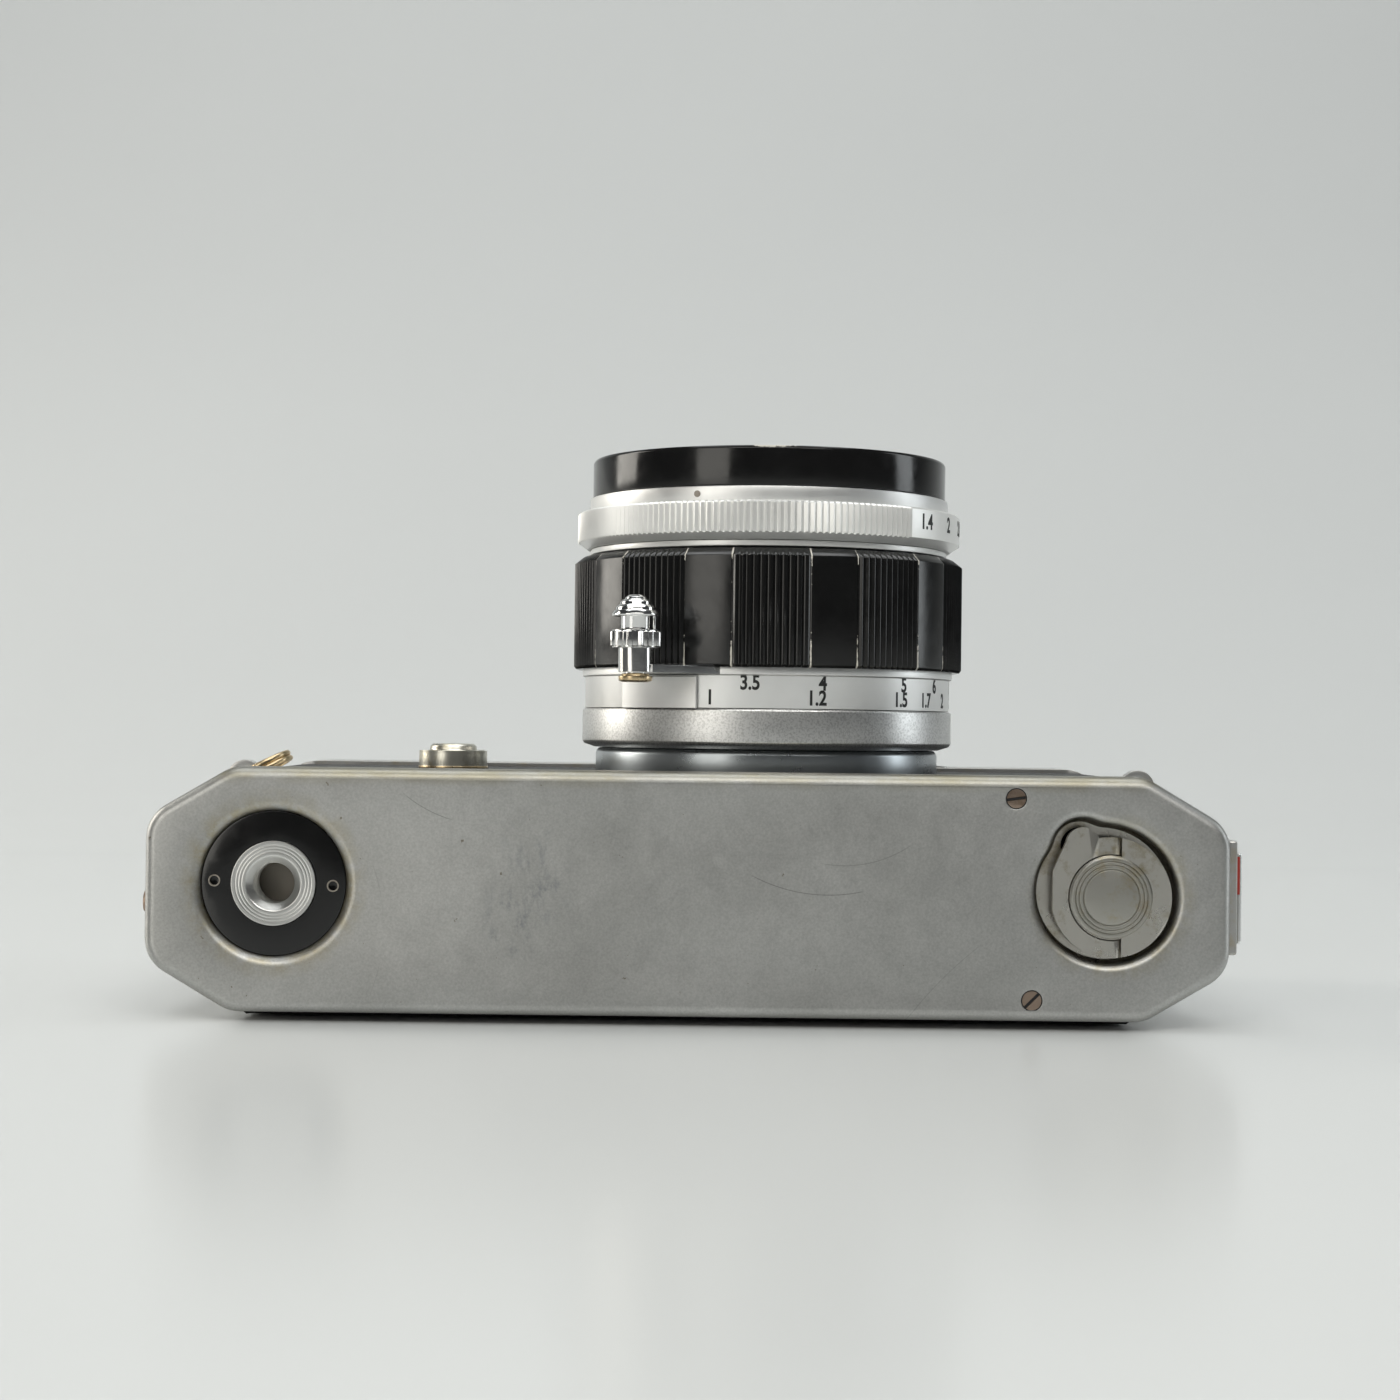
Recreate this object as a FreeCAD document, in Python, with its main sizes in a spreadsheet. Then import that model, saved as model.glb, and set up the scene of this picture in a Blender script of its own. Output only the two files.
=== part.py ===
import FreeCAD, Part
import math
import os
import Sketcher

# A rangefinder film camera with its standard lens, lying on its back.
# Frame: +X towards the rewind end, +Y towards the top cover, +Z out of the lens.
# The origin is the middle of the back face, the plane z = 0 that the camera rests on.
# All lengths are in millimetres.

V = FreeCAD.Vector
doc = FreeCAD.newDocument("rangefinder_camera")

# ---------------------------------------------------------------- driving dimensions

SIZES = {
    # body outline
    "body_width": 140.0,
    "body_height": 81.0,
    "plate_depth": 31.6,
    "plate_lift": 1.0,
    "corner_x": 11.0,
    "corner_z": 6.5,
    "corner_round": 5.0,
    "edge_round": 1.3,
    "sheet_wall": 1.2,
    "plate_skirt": 6.0,
    "skin": 0.8,
    "front_skin_drop": 0.5,
    "casting_wall": 1.8,
    "casting_low_y": -34.0,
    "casting_high_y": 20.5,
    "door_split_z": 7.5,
    # tripod socket
    "tripod_x": -53.4,
    "tripod_z": 17.6,
    "tripod_ring_radius": 9.35,
    "tripod_bush_radius": 5.45,
    "tripod_bore_radius": 2.6,
    "tripod_mouth_radius": 3.58,
    "spanner_hole_offset": 7.66,
    "spanner_hole_radius": 0.7,
    # door key
    "key_x": 54.57,
    "key_z": 17.1,
    "key_radius": 7.77,
    "key_button_radius": 5.4,
    "key_shaft_radius": 1.9,
    "key_split_x": 55.7,
    "key_sheet": 1.0,
    "key_well_depth": 1.8,
    "key_flat_x": 47.0,
    "ear_x": 50.85,
    "ear_z": 23.9,
    "ear_radius": 2.2,
    # case screws
    "screw_head_radius": 1.35,
    "screw_head_height": 1.1,
    "screw_shank_radius": 0.7,
    "screw_slot": 0.4,
    "side_screw_y": 4.0,
    "side_screw_z": 14.9,
    # film path
    "film_plane_z": 6.7,
    "gate_width": 36.0,
    "gate_height": 24.0,
    "chamber_radius": 12.6,
    "chamber_wall": 0.5,
    "spool_x": -52.0,
    "spool_z": 17.0,
    "spool_radius": 7.5,
    "sprocket_x": -32.5,
    "sprocket_radius": 6.05,
    "shaft_radius": 2.0,
    "running_gap": 0.05,
    # back door
    "hinge_x": -68.3,
    "hinge_z": 8.2,
    "knuckle_radius": 1.2,
    "hinge_pin_radius": 0.55,
    "door_low_y": -34.2,
    "door_high_y": 20.5,
    "door_back_z": 0.8,
    # top cover
    "cover_low_y": 20.8,
    "deck_y": 34.5,
    "housing_left_x": -12.0,
    "housing_right_x": 42.0,
    # top controls
    "wind_x": -54.0,
    "wind_z": 17.0,
    "wind_hub_radius": 8.5,
    "wind_reach": 28.5,
    "wind_rest_angle": 30.0,
    "button_x": -36.5,
    "button_z": 22.5,
    "button_radius": 2.4,
    "collar_radius": 5.2,
    "dial_x": -22.5,
    "dial_radius": 8.0,
    "selector_x": 33.5,
    "selector_z": 19.0,
    "selector_radius": 5.92,
    "knob_radius": 9.0,
    "crank_reach": 8.4,
    # self-timer
    "timer_x": -34.2,
    "timer_y": -2.5,
    "timer_radius": 4.88,
    "timer_reach": 19.5,
    # side latch
    "latch_low_y": -38.2,
    "latch_high_y": -24.0,
    "latch_low_z": 9.7,
    "latch_high_z": 24.5,
    "latch_sheet": 1.2,
    "slider_height": 2.0,
    # strap lugs
    "lug_y": 25.5,
    "lug_hole_x": 69.3,
    "lug_hole_z": 29.95,
    "lug_radius": 2.6,
    "lug_hole_radius": 1.5,
    "lug_sheet": 2.2,
    "strap_ring_radius": 3.7,
    "strap_wire_radius": 0.45,
    # lens, radii about its axis and heights above the back face
    "lens_x": 10.82,
    "lens_y": -4.0,
    "mount_radius": 24.4,
    "mount_bore": 19.5,
    "flange_z": 35.5,
    "base_ring_radius": 26.35,
    "base_ring_top": 40.9,
    "scale_radius": 26.0,
    "scale_top": 45.5,
    "grip_flange_radius": 26.4,
    "grip_flange_top": 46.46,
    "grip_radius": 27.8,
    "grip_top": 62.38,
    "grip_sections": 10,
    "grip_turn": 17.5,
    "guide_radius": 22.3,
    "guide_bore": 20.6,
    "band_radius": 25.5,
    "band_low": 62.74,
    "aperture_low": 63.6,
    "aperture_top": 68.7,
    "aperture_radius": 27.3,
    "aperture_bore": 23.05,
    "rim_low": 70.8,
    "rim_top": 76.2,
    "rim_radius": 25.2,
    "filter_radius": 23.75,
    "lock_x": -7.2,
    "lock_y": -35.0,
}

sheet = doc.addObject("Spreadsheet::Sheet", "Sizes")
for row, (name, number) in enumerate(SIZES.items(), start=1):
    sheet.set("A%d" % row, name)
    sheet.set("B%d" % row, str(number))
    sheet.setAlias("B%d" % row, name)
doc.recompute()


class Size:
    """A number together with the spreadsheet formula that drives it."""

    def __init__(self, value, formula):
        self.value = value
        self.formula = formula

    def combine(self, sign, other, value):
        return Size(value, "(%s %s %s)" % (self.formula, sign, other.formula))

    def __add__(self, other):
        other = as_size(other)
        return self.combine("+", other, self.value + other.value)

    def __sub__(self, other):
        other = as_size(other)
        return self.combine("-", other, self.value - other.value)

    def __mul__(self, other):
        other = as_size(other)
        return self.combine("*", other, self.value * other.value)

    def __truediv__(self, other):
        other = as_size(other)
        return self.combine("/", other, self.value / other.value)

    def __neg__(self):
        return Size(-self.value, "(0 - %s)" % self.formula)

    __radd__ = __add__
    __rmul__ = __mul__

    def __rsub__(self, other):
        return as_size(other) - self


def as_size(number):
    if isinstance(number, Size):
        return number
    return Size(float(number), "(%s)" % float(number))


class Dimensions:
    """The spreadsheet's cells, each read as a Size by its alias."""


d = Dimensions()
for name, number in SIZES.items():
    setattr(d, name, Size(number, "Sizes." + name))

half_width = d.body_width / 2
base_y = -d.body_height / 2
top_y = d.body_height / 2
plate_front = d.plate_lift + d.plate_depth
casting_front = plate_front - d.skin
front_skin_z = plate_front - d.front_skin_drop
plate_inner_y = base_y + d.sheet_wall

# ---------------------------------------------------------------- drawing helpers

parts = {}
PLANE_SIGN = {"XY_Plane": 1, "XZ_Plane": -1, "YZ_Plane": 1}


def bind(thing, name, size):
    thing.setExpression(name, as_size(size).formula)


def place(thing, x=0, y=0, z=0, rotation=None):
    if rotation:
        thing.Placement = FreeCAD.Placement(V(0, 0, 0), rotation)
    bind(thing, "Placement.Base.x", x)
    bind(thing, "Placement.Base.y", y)
    bind(thing, "Placement.Base.z", z)
    return thing


def node(name, thing):
    """Register a finished sub-part under its own name."""
    thing.Label = name
    parts[name] = thing
    return thing


def new_body(name, x=0, y=0, z=0, rotation=None):
    body = doc.addObject("PartDesign::Body", name)
    place(body, x, y, z, rotation)
    return node(name, body)


def new_loose_body(name, y):
    """A body at a height that becomes part of another node."""
    return place(doc.addObject("PartDesign::Body", name), 0, y, 0)


def new_sketch(body, role, level=0):
    """A sketch on one of the body's own planes, moved to a level along its positive axis."""
    plane = [feature for feature in body.Origin.OriginFeatures if feature.Role == role][0]
    sketch = body.newObject("Sketcher::SketchObject", body.Label + "_sketch")
    sketch.AttachmentSupport = [(plane, "")]
    sketch.MapMode = "FlatFace"
    bind(sketch, "AttachmentOffset.Base.z", as_size(level) * PLANE_SIGN[role])
    return sketch


def fix_point(sketch, curve, end, x, y):
    for kind, size in (("DistanceX", as_size(x)), ("DistanceY", as_size(y))):
        index = sketch.addConstraint(Sketcher.Constraint(kind, curve, end, size.value))
        sketch.setExpression("Constraints[%d]" % index, size.formula)


def draw_polygon(sketch, points):
    first = sketch.GeometryCount
    count = len(points)
    corners = [V(as_size(x).value, as_size(y).value, 0) for x, y in points]
    for index in range(count):
        sketch.addGeometry(Part.LineSegment(corners[index], corners[(index + 1) % count]), False)
    for index, (x, y) in enumerate(points):
        following = first + (index + 1) % count
        sketch.addConstraint(Sketcher.Constraint("Coincident", first + index, 2, following, 1))
        fix_point(sketch, first + index, 1, x, y)


def draw_circle(sketch, x, y, radius):
    radius = as_size(radius)
    centre = V(as_size(x).value, as_size(y).value, 0)
    circle = sketch.addGeometry(Part.Circle(centre, V(0, 0, 1), radius.value), False)
    index = sketch.addConstraint(Sketcher.Constraint("Radius", circle, radius.value))
    sketch.setExpression("Constraints[%d]" % index, radius.formula)
    fix_point(sketch, circle, 3, x, y)


def add_feature(body, kind, sketch, length, flipped):
    feature = body.newObject("PartDesign::" + kind, body.Label + "_" + kind.lower())
    feature.Profile = sketch
    feature.Reversed = flipped
    bind(feature, "Length", length)
    doc.recompute()
    return feature


def pad(body, role, level, length, polygon=None, circle=None):
    """Add material from a level of a plane, towards the plane's positive axis."""
    sketch = new_sketch(body, role, level)
    if polygon:
        draw_polygon(sketch, polygon)
    if circle:
        draw_circle(sketch, *circle)
    return add_feature(body, "Pad", sketch, length, PLANE_SIGN[role] < 0)


def pocket(body, role, level, length, polygon=None, circles=()):
    """Cut from a level of a plane, towards the plane's positive axis."""
    before = body.Shape.Volume
    sketch = new_sketch(body, role, level)
    if polygon:
        draw_polygon(sketch, polygon)
    for circle in circles:
        draw_circle(sketch, *circle)
    feature = add_feature(body, "Pocket", sketch, length, PLANE_SIGN[role] > 0)
    if body.Shape.Volume > before - 1e-4:
        raise RuntimeError("a pocket in %s cut nothing" % body.Label)
    return feature


def rectangle(x_low, x_high, y_low, y_high):
    return [(x_low, y_low), (x_high, y_low), (x_high, y_high), (x_low, y_high)]


def centred(x, y, width, height):
    width = as_size(width)
    height = as_size(height)
    return rectangle(x - width / 2, x + width / 2, y - height / 2, y + height / 2)


def revolve(body, role, profile):
    sketch = new_sketch(body, role)
    draw_polygon(sketch, profile)
    turned = body.newObject("PartDesign::Revolution", body.Label + "_revolution")
    turned.Profile = sketch
    turned.ReferenceAxis = (sketch, ["V_Axis"])
    turned.Angle = 360
    doc.recompute()
    return turned


def turned_z(name, profile, x, y):
    """A turned piece about an axis along Z; the profile is radius, height."""
    body = new_body(name, x, y, 0)
    revolve(body, "XZ_Plane", profile)
    return body


def turned_y(name, profile, x, z):
    """A turned piece about an axis along Y; the profile is radius, height."""
    body = new_body(name, x, 0, z)
    revolve(body, "XY_Plane", profile)
    return body


def ring_profile(inner, outer, low, high):
    return [(inner, low), (outer, low), (outer, high), (inner, high)]


def round_edges(body, base, chosen, radius):
    feature = body.newObject("PartDesign::Fillet", body.Label + "_fillet")
    names = ["Edge%d" % number for number, edge in enumerate(base.Shape.Edges, start=1) if chosen(edge)]
    feature.Base = (base, names)
    bind(feature, "Radius", radius)
    doc.recompute()
    return feature


def runs_along(direction):
    def test(edge):
        straight = isinstance(edge.Curve, Part.Line)
        return straight and abs(edge.Curve.Direction.dot(direction)) > 0.999
    return test


def lies_at_y(level, tolerance=1e-4):
    def test(edge):
        box = edge.BoundBox
        return abs(box.YMin - level) < tolerance and abs(box.YMax - level) < tolerance
    return test


def box(name, x_low, x_high, y_low, y_high, z_low, z_high):
    solid = doc.addObject("Part::Box", name)
    bind(solid, "Length", as_size(x_high) - x_low)
    bind(solid, "Width", as_size(y_high) - y_low)
    bind(solid, "Height", as_size(z_high) - z_low)
    return place(solid, x_low, y_low, z_low)


TURNS = {"x": FreeCAD.Rotation(V(0, 1, 0), 90), "y": FreeCAD.Rotation(V(1, 0, 0), -90), "z": None}


def cylinder(name, axis, radius, length, x, y, z):
    """A cylinder that starts at x, y, z and runs along the positive named axis."""
    solid = doc.addObject("Part::Cylinder", name)
    bind(solid, "Radius", radius)
    bind(solid, "Height", length)
    return place(solid, x, y, z, TURNS[axis])


def fuse(name, solids):
    joined = doc.addObject("Part::MultiFuse", name)
    joined.Shapes = solids
    return joined


def cut(name, base, tool):
    result = doc.addObject("Part::Cut", name)
    result.Base = base
    result.Tool = tool
    return result


def common(name, base, tool):
    result = doc.addObject("Part::Common", name)
    result.Base = base
    result.Tool = tool
    return result


def group(name, solids):
    together = doc.addObject("Part::Compound", name)
    together.Links = solids
    return node(name, together)


def octagon(inset):
    """The body's outline in X and Z, moved inwards by the inset."""
    side = half_width - inset
    back = d.plate_lift + inset
    front = plate_front - inset
    return [(side, back + d.corner_z), (side, front - d.corner_z), (side - d.corner_x, front),
            (-side + d.corner_x, front), (-side, front - d.corner_z), (-side, back + d.corner_z),
            (-side + d.corner_x, back), (side - d.corner_x, back)]


# ---------------------------------------------------------------- base

WELL_DISCS = [(54.57, 17.1, 8.45), (53.5, 17.7, 8.75), (50.7, 23.6, 3.62)]
BASE_SCREWS = [(42.18, 29.69, 8.0), (44.41, 3.75, 45.0)]


def base_plate():
    body = new_body("base_plate", 0, base_y, 0)
    shell = pad(body, "XZ_Plane", 0, d.plate_skirt, polygon=octagon(0))
    shell = round_edges(body, shell, runs_along(V(0, 1, 0)), d.corner_round)
    round_edges(body, shell, lies_at_y(0), d.edge_round)
    pocket(body, "XZ_Plane", d.sheet_wall, d.plate_skirt, polygon=octagon(d.sheet_wall))
    holes = [(d.tripod_x, d.tripod_z, d.tripod_ring_radius + d.running_gap)]
    holes += [(x, z, d.screw_head_radius) for x, z, turn in BASE_SCREWS]
    pocket(body, "XZ_Plane", -1, d.sheet_wall + 2, circles=holes)
    for disc in WELL_DISCS:
        last = pocket(body, "XZ_Plane", -1, d.sheet_wall + 2, circles=[disc])

    def is_lip(edge):
        centre = edge.BoundBox.Center
        near_socket = math.hypot(centre.x - SIZES["tripod_x"], centre.z - SIZES["tripod_z"]) < 2
        return lies_at_y(0)(edge) and near_socket

    round_edges(body, last, is_lip, 0.9)
    side_hole = (d.side_screw_y, d.side_screw_z, d.screw_shank_radius)
    pocket(body, "YZ_Plane", -half_width - 0.5, d.sheet_wall + 1, circles=[side_hole])


def tripod_socket():
    ring = turned_y("tripod_ring", ring_profile(d.tripod_bush_radius, d.tripod_ring_radius,
                                                base_y + 1.0, base_y + 4.0), d.tripod_x, d.tripod_z)
    spanner_holes = [(side * d.spanner_hole_offset, 0, d.spanner_hole_radius) for side in (-1, 1)]
    pocket(ring, "XZ_Plane", base_y + 1.0, 1.0, circles=spanner_holes)
    mouth = base_y + 0.6
    low_end = d.casting_low_y
    bevel = d.tripod_mouth_radius - d.tripod_bore_radius
    turned_y("tripod_bush", [(d.tripod_bore_radius, low_end), (d.tripod_bush_radius, low_end),
                             (d.tripod_bush_radius, mouth), (d.tripod_mouth_radius, mouth),
                             (d.tripod_bore_radius, mouth + bevel)], d.tripod_x, d.tripod_z)


def discs(name, grow, low, length):
    solids = []
    for x, z, radius in WELL_DISCS:
        solids.append(cylinder(name + "_disc", "y", radius + grow, length, x, low, z))
    return fuse(name, solids)


def door_key():
    low = plate_inner_y
    hollow = discs("key_hollow", 0.0, low, d.key_well_depth)
    outside = discs("key_outside", 0.7, low, d.key_well_depth + 0.6)
    bore = cylinder("key_bore", "y", d.key_shaft_radius + d.running_gap, 5, d.key_x, low, d.key_z)
    node("key_cup", cut("key_cup", outside, fuse("key_room", [hollow, bore])))

    sheet_top = base_y + 0.25
    hinge_line = d.key_split_x - d.key_sheet / 2
    blank = cylinder("key_blank", "y", d.key_radius, d.key_sheet, d.key_x, sheet_top, d.key_z)
    right = box("key_right", d.key_split_x + 0.15, 70, base_y - 1, -30, 0, 34)
    half = common("key_half", blank, right)
    button = cylinder("key_button", "y", d.key_button_radius, 1.2, d.key_x, base_y + 0.3, d.key_z)
    shaft = cylinder("key_shaft", "y", d.key_shaft_radius, 4.6, d.key_x, base_y + 1, d.key_z)
    collar = cylinder("key_collar", "y", 3.2, 0.8, d.key_x, base_y + 4.3, d.key_z)
    node("key_body", fuse("key_body", [half, button, shaft, collar]))

    round_blank = cylinder("flap_blank", "y", d.key_radius, d.key_sheet, d.key_x, sheet_top, d.key_z)
    ear = cylinder("flap_ear", "y", d.ear_radius, d.key_sheet, d.ear_x, sheet_top, d.ear_z)
    neck = new_loose_body("flap_neck", sheet_top)
    pad(neck, "XZ_Plane", 0, d.key_sheet, polygon=[
        (d.key_flat_x, d.key_z), (d.key_flat_x, d.key_z + 3.4), (d.ear_x - 2.15, d.ear_z + 0.4),
        (d.ear_x, d.ear_z + 1.0), (d.ear_x + 2.1, d.ear_z - 0.4), (d.key_x, d.key_z + 6.5), (d.key_x, d.key_z)])
    window = box("flap_window", d.key_flat_x, hinge_line, base_y - 1, -30, 0, 34)
    flap = common("flap_outline", fuse("flap_solid", [round_blank, ear, neck]), window)
    nose = cylinder("flap_nose", "z", d.key_sheet / 2, 2 * d.key_radius, hinge_line,
                    sheet_top + d.key_sheet / 2, d.key_z - d.key_radius)
    rounded = common("flap_nose_ends", nose, round_blank)
    opening = cylinder("flap_opening", "y", d.key_button_radius + 0.2, 3, d.key_x, base_y - 1, d.key_z)
    node("key_flap", cut("key_flap", fuse("flap_with_nose", [flap, rounded]), opening))


def slotted_screw(name, x, z, turn):
    """A flush screw in the base plate with its slot turned by an angle in degrees."""
    top = base_y + 0.1
    head = cylinder(name + "_head", "y", d.screw_head_radius, d.screw_head_height, x, top, z)
    shank = cylinder(name + "_shank", "y", d.screw_shank_radius, 3.5, x, top, z)
    slot = doc.addObject("Part::Box", name + "_slot")
    slot.Placement = FreeCAD.Placement(V(0, 0, 0), FreeCAD.Rotation(V(0, 1, 0), -turn))
    bind(slot, "Length", d.screw_head_radius * 4)
    bind(slot, "Width", d.screw_slot * 2)
    bind(slot, "Height", d.screw_slot)
    angle = math.radians(turn)
    reach = 2 * SIZES["screw_head_radius"]
    half_slot = SIZES["screw_slot"] / 2
    bind(slot, "Placement.Base.x", as_size(x) - reach * math.cos(angle) + half_slot * math.sin(angle))
    bind(slot, "Placement.Base.y", top - d.screw_slot)
    bind(slot, "Placement.Base.z", as_size(z) - reach * math.sin(angle) - half_slot * math.cos(angle))
    return cut(name, fuse(name + "_blank", [head, shank]), slot)


def case_screws():
    screws = [slotted_screw("base_screw", x, z, turn) for x, z, turn in BASE_SCREWS]
    side_y = base_y + d.side_screw_y
    start = -half_width - 0.6
    head = cylinder("side_head", "x", d.screw_head_radius, 0.6, start, side_y, d.side_screw_z)
    shank = cylinder("side_shank", "x", d.screw_shank_radius, 2.4, start, side_y, d.side_screw_z)
    screws.append(fuse("side_screw", [head, shank]))
    group("case_screws", screws)


# ---------------------------------------------------------------- chassis and film path

def casting_outline():
    side = half_width - d.skin
    return [(-side, 10), (-side, casting_front - d.corner_z), (-side + d.corner_x, casting_front),
            (side - d.corner_x, casting_front), (side, casting_front - d.corner_z),
            (side, d.door_split_z + 0.4), (66.5, d.door_split_z + 0.4), (58, 3.2), (-58, 3.2),
            (-64.5, 7.0), (-64.5, 10)]


def room_outline():
    """The hollow inside the casting, open at the back."""
    side = half_width - d.skin - d.casting_wall
    front = casting_front - d.casting_wall
    return [(-side + 3, 0), (-side + 3, 9.9), (-side, 9.9), (-side, front - d.corner_z),
            (-side + d.corner_x, front), (side - d.corner_x, front), (side, front - d.corner_z), (side, 0)]


def body_casting():
    low = d.casting_low_y
    length = d.casting_high_y - low
    body = new_body("body_casting", 0, low, 0)
    pad(body, "XZ_Plane", 0, length, polygon=casting_outline())
    pocket(body, "XZ_Plane", 2.0, length - 4.0, polygon=room_outline())
    pocket(body, "XY_Plane", casting_front - 3, 4, circles=[(d.lens_x, d.lens_y - low, 21.5)])
    timer = (d.timer_x, d.timer_y - low, 1.45)
    pocket(body, "XY_Plane", casting_front - 3, 4, circles=[timer])
    gap = d.running_gap
    shafts = [(d.key_x, d.key_z, d.shaft_radius + gap), (d.spool_x, d.spool_z, d.shaft_radius + gap),
              (d.sprocket_x, sprocket_z, 1.5 + gap)]
    pocket(body, "XZ_Plane", length - 3, 4, circles=shafts)
    pocket(body, "XZ_Plane", 1.0, 1.5, circles=shafts[1:])


def chamber(name, x, z, keep_low_x, keep_high_x):
    """The curved wall of a film chamber, open at the back."""
    low = d.casting_low_y + 2.0
    length = d.casting_high_y - low - 2.0
    outside = cylinder(name + "_outside", "y", d.chamber_radius + d.chamber_wall, length, x, low, z)
    inside = cylinder(name + "_inside", "y", d.chamber_radius, length + 2, x, low - 1, z)
    kept = box(name + "_kept", keep_low_x, keep_high_x, low, low + length, 9.6,
               casting_front - d.casting_wall)
    node(name, common(name, cut(name + "_tube", outside, inside), kept))


def film_gate():
    body = new_body("film_gate", 0, 0, d.film_plane_z + 0.2)
    pad(body, "XY_Plane", 0, 1.5, polygon=centred(d.lens_x, d.lens_y, 58, 44))
    pocket(body, "XY_Plane", 0, 1.5, polygon=centred(d.lens_x, d.lens_y, d.gate_width, d.gate_height))


def shutter_crate():
    low = d.film_plane_z + 3.6
    body = new_body("shutter_crate", 0, 0, low)
    length = casting_front - d.casting_wall - low
    pad(body, "XY_Plane", 0, length, polygon=centred(d.lens_x, d.lens_y, 45, 38))
    pocket(body, "XY_Plane", 0, length, polygon=centred(d.lens_x, d.lens_y, 42.6, 35.6))


def shutter_parts():
    curtain_z = d.film_plane_z + 2.6
    curtain = box("shutter_curtain", d.lens_x - 22, d.lens_x + 22, d.lens_y - 14, d.lens_y + 14,
                  curtain_z, curtain_z + 0.2)
    node("shutter_curtain", curtain)
    drums = []
    for side in (-1, 1):
        x = d.lens_x + side * 26.3
        drum_z = curtain_z + 3.4
        wide = cylinder("drum_wide", "y", 3.2, 30, x, d.lens_y - 15, drum_z)
        thin = cylinder("drum_thin", "y", 1.2, 50, x, d.lens_y - 28, drum_z)
        drums.append(fuse("drum", [wide, thin]))
    group("curtain_drums", drums)


def take_up_spool():
    low = d.casting_low_y + 2.2
    high = d.casting_high_y - 2.3
    turned_y("take_up_spool", [(0, low - 1), (d.shaft_radius, low - 1), (d.shaft_radius, low),
                               (10, low), (10, low + 1.2), (d.spool_radius, low + 1.2),
                               (d.spool_radius, high - 1.2), (10, high - 1.2), (10, high),
                               (d.shaft_radius, high), (d.shaft_radius, d.casting_high_y + 1.5),
                               (0, d.casting_high_y + 1.5)], d.spool_x, d.spool_z)


def film_sprocket():
    low = d.casting_low_y + 2.2
    high = d.casting_high_y - 2.3
    lower_row = d.lens_y - 14.5
    upper_row = d.lens_y + 14.5
    turned_y("film_sprocket", [(0, low - 1), (1.5, low - 1), (1.5, low), (4, low),
                               (4, lower_row - 2), (d.sprocket_radius, lower_row - 2),
                               (d.sprocket_radius, lower_row + 2), (4, lower_row + 2),
                               (4, upper_row - 2), (d.sprocket_radius, upper_row - 2),
                               (d.sprocket_radius, upper_row + 2), (4, upper_row + 2),
                               (4, high), (1.5, high), (1.5, d.casting_high_y + 1.5),
                               (0, d.casting_high_y + 1.5)], d.sprocket_x, sprocket_z)


# ---------------------------------------------------------------- skins and back door

def front_leatherette():
    low = base_y + d.plate_skirt
    length = d.casting_high_y + 0.2 - low
    side = half_width - 0.2
    inner = half_width - d.skin
    flat = half_width - d.corner_x
    body = new_body("front_leatherette", 0, low, 0)
    pad(body, "XZ_Plane", 0, length, polygon=[
        (inner, d.door_split_z + 0.5), (side, d.door_split_z + 0.5),
        (side, front_skin_z - d.corner_z), (flat, front_skin_z), (-flat, front_skin_z),
        (-side, front_skin_z - d.corner_z), (-side, 10), (-inner, 10),
        (-inner, casting_front - d.corner_z), (-inner + d.corner_x, casting_front),
        (inner - d.corner_x, casting_front), (inner, casting_front - d.corner_z)])
    pocket(body, "XY_Plane", casting_front - 1, 4, circles=[(d.lens_x, d.lens_y - low, d.mount_radius + 0.1)])
    timer = (d.timer_x, d.timer_y - low, d.timer_radius + 0.4)
    pocket(body, "XY_Plane", casting_front - 1, 4, circles=[timer])


def back_door():
    low = d.door_low_y
    length = d.door_high_y - low
    back = d.door_back_z
    split = d.door_split_z
    body = new_body("back_door", 0, low, 0)
    pad(body, "XZ_Plane", 0, length, polygon=[
        (69.8, split), (58.8, back), (-58.8, back), (-69.2, d.hinge_z - 0.8), (-67.6, d.hinge_z - 0.3),
        (-58.3, back + d.sheet_wall), (58.3, back + d.sheet_wall), (67.9, split)])
    pad(body, "XZ_Plane", 0, length, circle=(d.hinge_x, d.hinge_z, d.knuckle_radius))
    pin_hole = (d.hinge_x, d.hinge_z, d.hinge_pin_radius + d.running_gap)
    pocket(body, "XZ_Plane", -1, length + 2, circles=[pin_hole])


def door_fittings():
    leather = new_body("door_leatherette", 0, d.door_low_y + 0.5, 0)
    pad(leather, "XZ_Plane", 0, d.door_high_y - d.door_low_y - 1,
        polygon=[(58, 0), (58.5, d.door_back_z), (-58.5, d.door_back_z), (-58, 0)])
    plate_low = d.film_plane_z - 1.5
    plate = new_body("pressure_plate", 0, 0, plate_low)
    pad(plate, "XY_Plane", 0, 1.3, polygon=centred(d.lens_x, d.lens_y, 46, 33))
    inner_z = d.door_back_z + d.sheet_wall
    springs = []
    for side in (-1, 1):
        middle = d.lens_x + side * 12
        springs.append(box("leaf_spring", middle - 3, middle + 3, d.lens_y - 12, d.lens_y + 12,
                           inner_z, plate_low))
    group("pressure_springs", springs)
    pin = cylinder("hinge_pin", "y", d.hinge_pin_radius, d.cover_low_y - d.casting_low_y + 0.4,
                   d.hinge_x, d.casting_low_y - 0.4, d.hinge_z)
    node("hinge_pin", pin)


# ---------------------------------------------------------------- side latch and strap lugs

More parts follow.
